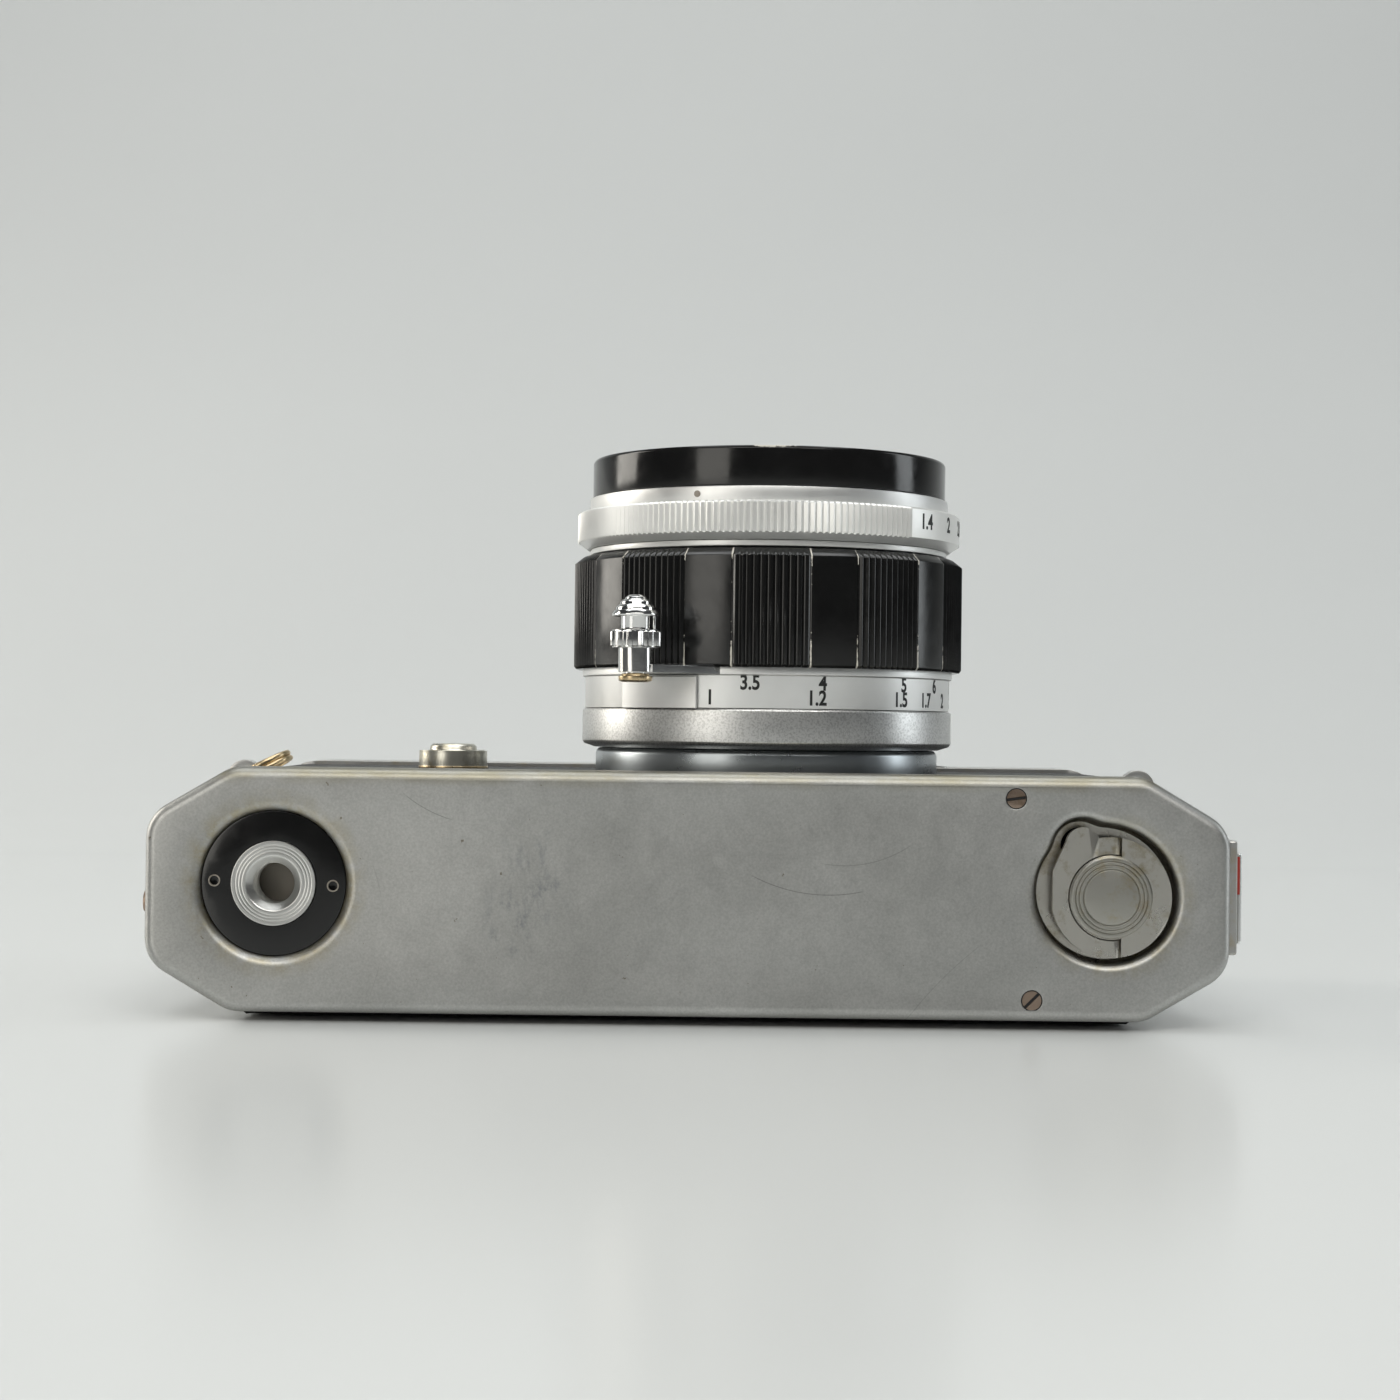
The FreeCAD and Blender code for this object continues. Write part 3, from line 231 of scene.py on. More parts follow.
def uneven(tree, shader, texture, *stops):
    """Roughness that varies with a noise between the stops."""
    rough = ramp(tree, noise_node(tree, *texture), [(level, grey(value)) for level, value in stops])
    tree.links.new(rough, shader.inputs["Roughness"])


def metal(name, colour, roughness, grain, grain_scale=9000, stretch=(1, 1, 1), patina=None,
          metallic=1.0, speckle=0.0):
    """A plated or bare metal with fine grain, cloudy tone and optional patina colour."""
    material, tree, shader = new_material(name)
    shader.inputs["Metallic"].default_value = metallic
    darker = tuple(c * 0.88 for c in colour)
    cloud = noise_node(tree, 60, 5, 0.6)
    base = ramp(tree, cloud, [(0.3, darker), (0.62, colour)])
    if patina:
        base = mix_colour(tree, patches(tree, 260, 8, 0.72, 0.52, 0.68, 0.8), base, patina)
    if speckle:
        specks = patches(tree, grain_scale, 2, 0.6, 0.45, 0.62, speckle)
        base = mix_colour(tree, specks, base, tuple(c * 0.45 for c in colour))
    tree.links.new(base, shader.inputs["Base Color"])
    uneven(tree, shader, (180, 6, 0.65), (0.3, roughness - 0.05), (0.7, roughness + 0.05))
    if grain:
        bump(tree, shader, noise_node(tree, grain_scale, 2, 0.5, stretch), grain, 0.00002)
    return material


def enamel(name, colour, roughness, wear=None):
    """Gloss paint with faint ripple; where the wear mask is bright, bare metal shows."""
    material, tree, shader = new_material(name)
    uneven(tree, shader, (400, 6, 0.7), (0.35, roughness), (0.75, roughness + 0.12))
    tone = ramp(tree, noise_node(tree, 120, 4, 0.6),
                [(0.3, colour), (0.75, tuple(c * 1.5 + 0.002 for c in colour))])
    if wear:
        tone = mix_colour(tree, wear(tree), tone, (0.68, 0.65, 0.58))
    tree.links.new(tone, shader.inputs["Base Color"])
    bump(tree, shader, noise_node(tree, 700, 3, 0.5), 0.04, 0.0001)
    return material


def leatherette_material():
    material, tree, shader = new_material("leatherette")
    tone = ramp(tree, noise_node(tree, 1500, 6, 0.7), [(0.35, grey(0.008)), (0.75, grey(0.03))])
    tree.links.new(tone, shader.inputs["Base Color"])
    uneven(tree, shader, (500, 4, 0.6), (0.3, 0.42), (0.7, 0.62))
    cells = add_node(tree, "TexVoronoi", Scale=1500.0)
    cells.feature = "SMOOTH_F1"
    tree.links.new(object_place(tree), cells.inputs["Vector"])
    bump(tree, shader, cells.outputs["Distance"], 0.6, 0.00012)
    return material


def glass(name, tint, roughness=0.02):
    material, tree, shader = new_material(name)
    shader.inputs["Transmission Weight"].default_value = 0.9
    shader.inputs["IOR"].default_value = 1.5
    shader.inputs["Specular Tint"].default_value = (0.8, 0.66, 1.0, 1)
    tone = ramp(tree, noise_node(tree, 30, 2, 0.5), [(0.2, tint), (0.8, tuple(c * 0.93 for c in tint))])
    tree.links.new(tone, shader.inputs["Base Color"])
    uneven(tree, shader, (200, 6, 0.7), (0.4, roughness), (0.8, roughness + 0.05))
    return material


def plate_material():
    """Satin chrome plate with grain, scuffs, hairlines, yellowed recess lips and painted shade along the front
    edge.
    """
    material, tree, shader = new_material("plate_satin")
    shader.inputs["Metallic"].default_value = 1
    axes = object_axes(tree)
    tones = [(0.3, (0.44, 0.44, 0.425)), (0.66, (0.54, 0.54, 0.525))]
    cloud = ramp(tree, noise_node(tree, 45, 6, 0.62), tones)
    grain = ramp(tree, noise_node(tree, 3400, 2, 0.6), [(0.3, grey(0.78)), (0.7, grey(1))])
    speckled = add_node(tree, "MixRGB", Fac=0.8)
    speckled.blend_type = "MULTIPLY"
    tree.links.new(cloud, speckled.inputs["Color1"])
    tree.links.new(grain, speckled.inputs["Color2"])
    colour = speckled.outputs["Color"]

    def distance_from(centre, stretch=(1, 0, 1)):
        """Distance in metres from a centre, along each axis times its stretch."""
        shift = [-c * k for c, k in zip(centre, stretch)]
        mapping = add_node(tree, "Mapping", Scale=stretch, Location=shift)
        length = add_node(tree, "VectorMath")
        length.operation = "LENGTH"
        tree.links.new(object_place(tree), mapping.inputs["Vector"])
        tree.links.new(mapping.outputs["Vector"], length.inputs[0])
        return length.outputs["Value"]

    streaks = patches(tree, 520, 9, 0.78, 0.5, 0.62, 1, (1, 1, 0.4))
    scuffs = ((-20.0, 21.5, 6.5, 0.34), (-22.5, 13.5, 6.0, 0.5), (-17.5, 16.5, 4.0, 0.36))
    for x, z, reach, strength in scuffs:
        distance = distance_from(Vector((x * MM, BASE_Y, z * MM)), (1.25, 0.2, 0.8))
        scuff = fade(tree, distance, 0.8 * MM, reach * MM, strength, 0)
        colour = mix_colour(tree, scuff, colour, (0.13, 0.15, 0.18), streaks)
    for centre, inner in ((SOCKET, 9.6 * MM), (KEY, 8.3 * MM)):
        grime = fade(tree, distance_from(centre), inner, inner + 3.0 * MM, 0.9, 0)
        spots = patches(tree, 420, 6, 0.7, 0.38, 0.62, 0.8)
        colour = mix_colour(tree, grime, colour, (0.34, 0.29, 0.17), spots)
    # Painted shade: an even darkening over the last 1.5 mm towards the front edge and its rounded lip.
    lip = fade(tree, axes["Z"], PLATE_FRONT - 1.5 * MM, PLATE_FRONT - 0.7 * MM, 0, 0.55)
    colour = mix_colour(tree, lip, colour, (0.25, 0.24, 0.2))
    edge = fade(tree, axes["Z"], PLATE_FRONT - 2.4 * MM, PLATE_FRONT - 1.0 * MM, 0, 0.6)
    grime = patches(tree, 300, 7, 0.7, 0.4, 0.62, 1, (0.35, 1, 1))
    colour = mix_colour(tree, edge, colour, (0.3, 0.27, 0.18), grime)
    colour = mix_colour(tree, patches(tree, 800, 4, 0.6, 0.715, 0.74, 0.7), colour, (0.16, 0.13, 0.08))
    # Each hairline scratch: X and Z of its centre, radius, first and last X, strength.
    for x, z, radius, first, last, strength in (
            (18.0, 38.0, 21.0, 8.0, 23.0, 0.5), (20.0, 36.0, 15.2, 17.0, 29.0, 0.35),
            (-26.0, 42.0, 16.5, -37.0, -30.0, 0.45), (-62.0, 12.0, 23.0, -41.0, -39.0, 0.2),
            (70.0, -30.0, 52.0, 26.0, 38.0, 0.25)):
        off = gap_between(tree, distance_from((x * MM, 0, z * MM)), radius * MM)
        line = fade(tree, off, 0.03 * MM, 0.09 * MM, strength, 0)
        started = fade(tree, axes["X"], first * MM, (first + 1) * MM, 0, 1)
        not_ended = fade(tree, axes["X"], (last - 1) * MM, last * MM, 1, 0)
        span = math_node(tree, "MULTIPLY", started, not_ended)
        colour = mix_colour(tree, line, colour, (0.14, 0.14, 0.13), span)
    tree.links.new(colour, shader.inputs["Base Color"])
    uneven(tree, shader, (300, 8, 0.7), (0.3, 0.4), (0.75, 0.5))
    bump(tree, shader, noise_node(tree, 3800, 3, 0.6), 0.35, 0.00004)
    return material


MATERIALS = {
    "plate": plate_material(),
    "cover": metal("cover_satin", (0.56, 0.555, 0.54), 0.36, 0.2, patina=(0.5, 0.44, 0.33)),
    "well": metal("well_chrome", (0.62, 0.6, 0.55), 0.3, 0.2, patina=(0.3, 0.24, 0.12)),
    "bright": metal("bright_chrome", (0.78, 0.78, 0.77), 0.17, 0.05),
    "polished": metal("polished_chrome", (0.82, 0.82, 0.81), 0.08, 0),
    "key_face": metal("key_satin", (0.47, 0.46, 0.42), 0.38, 0.3, 5000, patina=(0.36, 0.3, 0.18)),
    "turned": metal("turned_chrome", (0.66, 0.66, 0.64), 0.33, 0.25, 2500, (0.02, 0.02, 6)),
    "mount": metal("mount_chrome", (0.42, 0.45, 0.47), 0.3, 0.1),
    "warm": metal("warm_chrome", (0.7, 0.68, 0.6), 0.3, 0.1, patina=(0.45, 0.38, 0.22)),
    "silver": metal("satin_silver", (0.86, 0.86, 0.85), 0.42, 0.12),
    "pale": metal("pale_silver", (0.9, 0.9, 0.88), 0.38, 0.12, metallic=0.55),
    "beads": metal("blasted_chrome", (0.74, 0.74, 0.73), 0.36, 1.0, 3600, speckle=0.5),
    "screw": metal("nickel_screw", (0.38, 0.29, 0.23), 0.34, 0.2, 2500, patina=(0.2, 0.13, 0.08)),
    "brass": metal("worn_brass", (0.66, 0.52, 0.32), 0.28, 0.1, patina=(0.3, 0.22, 0.12)),
    "steel": metal("inner_steel", (0.5, 0.5, 0.49), 0.35, 0.15),
    "dusty": metal("dusty_bottom", (0.34, 0.31, 0.27), 0.55, 0.4, 2500, patina=(0.12, 0.1, 0.08)),
    "black": enamel("gloss_black", grey(0.004), 0.12),
    "grip_black": enamel("grip_black", grey(0.004), 0.14, wear=grip_wear),
    "rim_black": enamel("rim_black", grey(0.004), 0.1, wear=rim_wear),
    "matt_black": enamel("matt_black", grey(0.012), 0.6),
    "red": enamel("red_lacquer", (0.3, 0.025, 0.015), 0.3),
    # Black for numerals, also used as painted shade in the screw gaps and slots.
    "ink_and_shade": enamel("engraved_ink_and_painted_shade", grey(0.006), 0.5),
    "leather": leatherette_material(),
    "glass": glass("coated_glass", (0.62, 0.64, 0.72)),
    "amber": glass("meter_glass", (0.85, 0.84, 0.76), 0.12),
}


# ------------------------------------------------------------------ mesh helpers

def add_object(name, data):
    thing = bpy.data.objects.new(name, data)
    bpy.context.scene.collection.objects.link(thing)
    return thing


def finish_mesh(name, mesh, material, sharp=32):
    mesh.materials.append(MATERIALS[material])
    mesh.shade_smooth()
    mesh.set_sharp_from_angle(angle=math.radians(sharp))
    return add_object(name, mesh)


def on_lens(angle, reach, z):
    """A point round the lens: radians from the base side, radius and Z in metres."""
    return LENS.x + reach * math.sin(angle), LENS.y - reach * math.cos(angle), z


def loop_at(bm, outline, y):
    return [bm.verts.new((x, y, z)) for x, z in outline]


def join_loops(bm, loops):
    """Faces between each closed loop and the next."""
    for first, second in zip(loops, loops[1:]):
        for index in range(len(first)):
            following = (index + 1) % len(first)
            bm.faces.new((first[index], first[following], second[following], second[index]))


def fill_between(bm, rims):
    """A flat face bounded by the first loop, with the other loops as its holes."""
    edges = []
    for rim in rims:
        for a, b in zip(rim, rim[1:] + rim[:1]):
            edges.append(bm.edges.get((a, b)) or bm.edges.new((a, b)))
    bmesh.ops.triangle_fill(bm, edges=edges, use_beauty=True)


def from_bmesh(name, bm, material, sharp=32):
    mesh = bpy.data.meshes.new(name)
    bmesh.ops.recalc_face_normals(bm, faces=bm.faces)
    bm.to_mesh(mesh)
    bm.free()
    return finish_mesh(name, mesh, material, sharp)


def softened(profile, amount):
    """The closed profile with each corner replaced by a small three-point round."""
    points = []
    count = len(profile)
    for index in range(count):
        before = Vector(profile[index - 1])
        here = Vector(profile[index])
        after = Vector(profile[(index + 1) % count])
        if here.x <= 0:
            points.append(here)
            continue
        to_before = before - here
        to_after = after - here
        reach = min(amount, 0.4 * to_before.length, 0.4 * to_after.length)
        first = here + to_before.normalized() * reach
        last = here + to_after.normalized() * reach
        points += [first, first * 0.25 + last * 0.25 + here * 0.5, last]
    return points


def lathe(name, profile, centre, material, body, slot, *replaced, axis="z", steps, edge, wobble=None):
    """A turned piece. The profile is (radius, height) in millimetres along the axis, in the frame.

    wobble(angle, height, radius) may change the radius, for knurls and flutes.
    """
    points = softened([(r * MM, h * MM) for r, h in profile], edge * MM)
    bm = bmesh.new()
    rings = []
    for step in range(steps):
        angle = 2 * math.pi * step / steps
        ring = []
        for radius, height in points:
            if wobble:
                radius = wobble(angle, height, radius)
            across = radius * math.sin(angle)
            along = -radius * math.cos(angle)
            if axis == "z":
                place = (centre.x + across, centre.y + along, height)
            else:
                place = (centre.x + across, height, centre.z + along)
            ring.append(bm.verts.new(place))
        rings.append(ring)
    count = len(points)
    for step in range(steps):
        here = rings[step]
        there = rings[(step + 1) % steps]
        for index in range(count):
            following = (index + 1) % count
            if points[index].x <= 0 and points[following].x <= 0:
                continue
            bm.faces.new((here[index], here[following], there[following], there[index]))
    bmesh.ops.remove_doubles(bm, verts=bm.verts, dist=1e-7)
    return settle(from_bmesh(name, bm, material), body, slot, *replaced)


def settle(piece, body, slot, *replaced):
    """The piece rides on a body and may replace CAD nodes; the slot is not used."""
    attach(piece, body)
    if replaced:
        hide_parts(*replaced)
    return piece


def dress(node, material, bevel, sharp=32):
    """A CAD node keeps its shape and gets a material, softened edges and smooth shading."""
    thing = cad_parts[node]
    thing.data.materials.clear()
    thing.data.materials.append(MATERIALS[material])
    thing.data.shade_smooth()
    thing.data.set_sharp_from_angle(angle=math.radians(sharp))
    if bevel:
        weld = thing.modifiers.new("weld", "WELD")
        weld.merge_threshold = 1e-6
        soft = thing.modifiers.new("soft_edges", "BEVEL")
        soft.width = bevel * MM
        soft.segments = 2
        soft.limit_method = "ANGLE"
        soft.angle_limit = math.radians(sharp)
        soft.use_clamp_overlap = True
        even = thing.modifiers.new("even_shading", "WEIGHTED_NORMAL")
        even.keep_sharp = True
        even.weight = 90


def text_mesh(name, words, size, offset, extrude):
    """Numerals in the XY plane about their own centre, in metres."""
    curve = bpy.data.curves.new(name, "FONT")
    curve.body = words
    curve.size = size
    curve.align_x = "CENTER"
    curve.align_y = "CENTER"
    curve.offset = offset
    curve.extrude = extrude
    holder = add_object(name + "_curve", curve)
    bpy.context.view_layer.update()
    mesh = bpy.data.meshes.new_from_object(holder.evaluated_get(bpy.context.evaluated_depsgraph_get()))
    bpy.data.objects.remove(holder)
    return mesh


def wrapped_text(name, words, radius, angle, height, size, body):
    """Raised numerals on a cylinder about the lens axis; angle is from the base side, in degrees."""
    mesh = text_mesh(name, words, size, 0.027 * size, 0)
    bm = bmesh.new()
    bm.from_mesh(mesh)
    bpy.data.meshes.remove(mesh)
    sides = bmesh.ops.extrude_face_region(bm, geom=bm.faces[:])
    raised = {item for item in sides["geom"] if isinstance(item, bmesh.types.BMVert)}
    for vert in bm.verts:
        reach = radius + (0.03 * MM if vert in raised else -0.05 * MM)
        turn = math.radians(angle) + vert.co.x * 0.82 / radius
        vert.co = on_lens(turn, reach, height + vert.co.y)
    settle(from_bmesh(name, bm, "ink_and_shade"), body, "black_ring")


def dial_text(prefix, words, dial, reach, height, size, first, spacing):
    """Numerals round the top of a dial: lengths in millimetres, the first angle and spacing in degrees."""
    centre = middle(dial)
    for index, text in enumerate(words):
        turn = math.radians(first + spacing * index)
        x = centre.x + reach * MM * math.sin(turn)
        z = centre.z + reach * MM * math.cos(turn)
        name = prefix + text
        mesh = text_mesh(name, text, size * MM, 0, 0.02 * MM)
        for vert in mesh.vertices:
            across = -vert.co.x
            along = vert.co.y
            vert.co = (x + across * math.cos(turn) + along * math.sin(turn), height * MM + vert.co.z,
                       z - across * math.sin(turn) + along * math.cos(turn))
        settle(finish_mesh(name, mesh, "ink_and_shade"), dial, "black_ring")


# ------------------------------------------------------------------ base plate

def octagon(inset, arc_steps=7):
    """The body's outline with rounded corners, moved inwards by the inset."""
    corners = [(HALF_WIDTH, PLATE_BACK + CORNER_Z), (HALF_WIDTH, PLATE_FRONT - CORNER_Z),
               (HALF_WIDTH - CORNER_X, PLATE_FRONT), (CORNER_X - HALF_WIDTH, PLATE_FRONT),
               (-HALF_WIDTH, PLATE_FRONT - CORNER_Z), (-HALF_WIDTH, PLATE_BACK + CORNER_Z),
               (CORNER_X - HALF_WIDTH, PLATE_BACK), (HALF_WIDTH - CORNER_X, PLATE_BACK)]
    points = []
    count = len(corners)
    for index in range(count):
        before = Vector(corners[index - 1])
        here = Vector(corners[index])
        after = Vector(corners[(index + 1) % count])
        a = (before - here).normalized()
        b = (after - here).normalized()
        half = a.angle(b) / 2
        centre = here + (a + b).normalized() * (CORNER_ROUND / math.sin(half))
        start = here + a * (CORNER_ROUND / math.tan(half)) - centre
        end = here + b * (CORNER_ROUND / math.tan(half)) - centre
        turn = start.angle_signed(end)
        for step in range(arc_steps + 1):
            angle = -turn * step / arc_steps
            spoke = start.copy()
            spoke.rotate(Matrix.Rotation(angle, 2))
            points.append(centre + spoke * ((CORNER_ROUND - inset) / CORNER_ROUND))
    return [(p.x, p.y) for p in points]


def circle_outline(centre, radius, steps=96):
    def outline(grow):
        reach = radius + grow
        return [(centre.x + reach * math.cos(2 * math.pi * k / steps),
                 centre.z + reach * math.sin(2 * math.pi * k / steps)) for k in range(steps)]
    return outline


def well_outline(grow, steps=144):
    """The key's recess: three discs joined smoothly, as a closed outline about one centre."""
    middle_x = 53.4
    middle_z = 18.2
    sharpness = 2.2
    points = []
    for step in range(steps):
        angle = 2 * math.pi * step / steps
        ux = math.cos(angle)
        uz = math.sin(angle)
        total = 0.0
        for x, z, radius in WELL_DISCS:
            along = (x - middle_x) * ux + (z - middle_z) * uz
            aside = (x - middle_x) * uz - (z - middle_z) * ux
            room = (radius + grow / MM) ** 2 - aside ** 2
            if room > 0:
                total += math.exp(sharpness * (along + math.sqrt(room)))
        reach = math.log(total) / sharpness
        points.append(((middle_x + reach * ux) * MM, (middle_z + reach * uz) * MM))
    return points


def rounded_lip(bm, outline, radius, steps=6):
    """Loops from the plate's flat face round into the edge of the outline."""
    loops = []
    for step in range(steps + 1):
        turn = math.pi / 2 * step / steps
        aside = radius * (1 - math.sin(turn))
        loops.append(loop_at(bm, outline(aside), BASE_Y + radius * (1 - math.cos(turn))))
    return loops


def base_plate():
    """A pressed cover with a rounded lip, a skirt, and holes for the socket, the key and two screws."""
    bm = bmesh.new()
    skirt_end = high("base_plate").y
    outer = rounded_lip(bm, octagon, PLATE_LIP)
    for inset, y in ((0, skirt_end), (SHEET, skirt_end), (SHEET, BASE_Y + SHEET + 0.4 * MM)):
        outer.append(loop_at(bm, octagon(inset), y))
    join_loops(bm, outer)
    rims = [outer[0]]
    holes = [(circle_outline(SOCKET, 9.35 * MM), PLATE_LIP), (well_outline, 1.05 * MM)]
    for _, x, z, _ in BASE_SCREWS:
        holes.append((circle_outline(Vector((x, 0, z)) * MM, SCREW_HOLE * MM, 32), 0.12 * MM))
    for outline, lip in holes:
        loops = rounded_lip(bm, outline, lip)
        loops.append(loop_at(bm, outline(0), BASE_Y + max(SHEET, lip + 0.1 * MM)))
        join_loops(bm, loops)
        rims.append(loops[0])
    fill_between(bm, rims)
    settle(from_bmesh("plate_shell", bm, "plate", 25), "chassis", "satin_chrome", "base_plate")


def screw_gaps():
    """A black ring in the gap round each screw head in the base, and a dark inlay sunk in its slot, both painted
    shade.
    """
    face = low("case_screws").y / MM
    for name, x, z, turn in BASE_SCREWS:
        centre = Vector((x, 0, z)) * MM
        # A black ring filling the gap round the screw head: painted shade.
        ring = [(1.24, face - 0.05), (SCREW_HOLE, face - 0.05), (SCREW_HOLE, face + 0.02), (1.24, face + 0.02)]
        lathe("screw_gap_" + name, ring, centre, "ink_and_shade", "chassis", "nickel_screw", axis="y", steps=32, edge=0.01)
        # A dark inlay sunk into the slot: painted shade.
        angle = math.radians(turn)
        along = Vector((math.cos(angle), 0, math.sin(angle))) * 1.22 * MM
        aside = Vector((-math.sin(angle), 0, math.cos(angle))) * 0.15 * MM
        bm = bmesh.new()
        loops = []
        for depth in (0.12, 0.16):
            sunk = centre + Vector((0, (face + depth) * MM, 0))
            corners = [sunk + along * a + aside * b for a, b in ((-1, -1), (1, -1), (1, 1), (-1, 1))]
            loops.append([bm.verts.new(corner) for corner in corners])
        join_loops(bm, loops)
        bm.faces.new(loops[0])
        bm.faces.new(loops[1][::-1])
        settle(from_bmesh("screw_slot_shade_" + name, bm, "ink_and_shade"), "chassis", "nickel_screw")


def tripod_socket():
    """The threaded bush: a face with fine grooves, and a thread down to a closed end."""
    mouth = low("tripod_bush").y / MM
    inner_end = high("tripod_bush").y / MM
    pitch = 1.27
    crest = 2.62
    outline = [(5.45, inner_end), (5.45, mouth), (5.25, mouth)]
    for groove in (4.9, 4.5, 4.1):
        outline += [(groove + 0.1, mouth), (groove, mouth + 0.03), (groove - 0.1, mouth)]
    outline += [(3.6, mouth), (3.45, mouth + 0.1)]
    height = mouth + 0.7
    while height + pitch < inner_end:
        outline += [(crest, height + 0.15), (crest, height + 0.35), (3.12, height + pitch * 0.62)]
        height += pitch
    outline += [(crest, height + 0.15), (crest, inner_end)]
    lathe("socket_bush", outline, SOCKET, "turned", "chassis", "bright_chrome", "tripod_bush",
          axis="y", steps=96, edge=0.06)
    disc = [(0, inner_end - 0.15), (3.4, inner_end - 0.15), (3.4, inner_end), (0, inner_end)]
    lathe("socket_end", disc, SOCKET, "dusty", "chassis", "casting_black", axis="y", steps=48, edge=0.08)


def socket_ring():
    """The black ring round the bush, with two blind holes for a pin spanner."""
    bm = bmesh.new()
    face = low("tripod_ring").y
    back = high("tripod_ring").y

    def wall(outline, *steps):
        """Joined loops, each with how far it is outside the outline and how deep, in millimetres."""
        loops = [loop_at(bm, outline(grow * MM), face + depth * MM) for grow, depth in steps]
        join_loops(bm, loops)
        return loops

    depth = (back - face) / MM
    outer = circle_outline(SOCKET, radius_of("tripod_ring"), 128)
    inner = circle_outline(SOCKET, radius_of("tripod_bush") + 0.03 * MM, 96)
    rims = [wall(outer, (-0.25, 0), (-0.06, 0.06), (0, 0.25), (0, depth))[0]]
    rims.append(wall(inner, (0.1, 0), (0, 0.1), (0, depth))[0])
    face_mm = face / MM
    tilt = math.radians(2)
    for name, reach in (("left", -7.66 * MM), ("right", 7.66 * MM)):
        centre = Vector((SOCKET.x + reach * math.cos(tilt), 0, SOCKET.z - reach * math.sin(tilt)))
        hole = wall(circle_outline(centre, 0.62 * MM, 24), (0.12, 0), (0, 0.1), (0, 0.9), (-0.55, 1.0))
        bm.faces.new(hole[-1])
        rims.append(hole[0])
        lip = [(0.6, face_mm - 0.02), (0.78, face_mm - 0.02), (0.78, face_mm + 0.1), (0.6, face_mm + 0.4)]
        lathe("spanner_lip_" + name, lip, centre, "dusty", "chassis", "nickel_screw", axis="y", steps=32, edge=0.02)
    fill_between(bm, rims)
    settle(from_bmesh("socket_ring", bm, "black"), "chassis", "black_ring", "tripod_ring")


def door_key():
    """The recess of the door key, and the turned button on the key."""
    bm = bmesh.new()
    loops = []
    for aside, depth in ((0.7, 1.2), (0.0, 1.2), (0.0, 2.5), (-0.5, 3.0), (-6.0, 3.0)):
        loops.append(loop_at(bm, well_outline(aside * MM), BASE_Y + depth * MM))
    join_loops(bm, loops)
    settle(from_bmesh("key_well", bm, "well", 40), "chassis", "satin_chrome", "key_cup")
    face = BASE_Y / MM
    flat = face + 0.04
    valley = face + 0.2
    grooves = [(0, flat), (3.5, flat), (3.62, valley), (3.74, flat), (4.1, flat), (4.2, valley), (4.3, flat),
               (4.55, flat), (4.65, valley), (4.75, flat), (5.1, face + 0.06), (5.35, face + 0.3),
               (5.42, face + 1.0), (0, face + 1.0)]
    lathe("key_button", grooves, KEY, "key_face", "key", "satin_chrome", axis="y", steps=120, edge=0.02)


# ------------------------------------------------------------------ skins

def pebble(point):
    """Height of the leatherette's grain in metres at a point."""
    coarse = noise.noise(point * 900)
    fine = noise.noise(point * 2100)
    return (0.07 * coarse + 0.04 * fine) * MM


def skin_strip(name, path, node, body, holes, spacing=0.55):
    """Leatherette along a path in X and Z, rough outside, with round holes (centre, radius)."""
    y_low = low(node).y
    y_high = high(node).y
    lengths = [0.0]
    for first, second in zip(path, path[1:]):
        lengths.append(lengths[-1] + (Vector(second) - Vector(first)).length)
    count = int(lengths[-1] / (spacing * MM))
    rows = int((y_high - y_low) / (spacing * MM))
    bm = bmesh.new()
    grid = []
    for step in range(count + 1):
        along = lengths[-1] * step / count
        leg = max(k for k in range(len(path) - 1) if lengths[k] <= along + 1e-9)
        part = (along - lengths[leg]) / (lengths[leg + 1] - lengths[leg])
        start = Vector(path[leg])
        end = Vector(path[leg + 1])
        here = start.lerp(end, min(part, 1))
        direction = (end - start).normalized()
        outward = Vector((-direction.y, direction.x))
        column = []
        for row in range(rows + 1):
            y = y_low + (y_high - y_low) * row / rows
            point = Vector((here.x, y, here.y))
            lift = pebble(point) - 0.06 * MM
            column.append(bm.verts.new((here.x + outward.x * lift, y, here.y + outward.y * lift)))
        grid.append(column)
    for first, second in zip(grid, grid[1:]):
        for row in range(rows):
            corners = (first[row], second[row], second[row + 1], first[row + 1])
            centre = sum((corner.co for corner in corners), Vector()) / 4
            if all(math.hypot(centre.x - hole.x, centre.y - hole.y) >= radius for hole, radius in holes):
                bm.faces.new(corners)
    loose = [vert for vert in bm.verts if not vert.link_faces]
    bmesh.ops.delete(bm, geom=loose, context="VERTS")
    for hole, radius in holes:
        for vert in bm.verts:
            reach = Vector((vert.co.x - hole.x, vert.co.y - hole.y))
            if vert.is_boundary and reach.length < radius + 1.2 * spacing * MM:
                reach = reach.normalized() * radius
                vert.co.x = hole.x + reach.x
                vert.co.y = hole.y + reach.y
    piece = from_bmesh(name, bm, "leather", 80)
    thick = piece.modifiers.new("thickness", "SOLIDIFY")
    thick.thickness = 0.5 * MM
    thick.offset = -1
    settle(piece, body, "leatherette", node)


def skins():
    front = high("front_leatherette").z
    side = high("front_leatherette").x
    right_low = low("front_leatherette").z
    left_low = right_low + 2 * MM
    path = [(-side, left_low), (-side, front - CORNER_Z), (CORNER_X - HALF_WIDTH, front),
            (HALF_WIDTH - CORNER_X, front), (side, front - CORNER_Z), (side, right_low)]
    holes = [(LENS, 24.35 * MM), (TIMER, 5.2 * MM)]
    skin_strip("front_skin", path, "front_leatherette", "chassis", holes)
    reach = high("door_leatherette").x
    edge = high("door_leatherette").z
    path = [(reach, edge), (reach - 0.6 * MM, 0.06 * MM), (0.6 * MM - reach, 0.06 * MM), (-reach, edge)]
    skin_strip("door_skin", path, "door_leatherette", "back_door", [])


# ------------------------------------------------------------------ lens

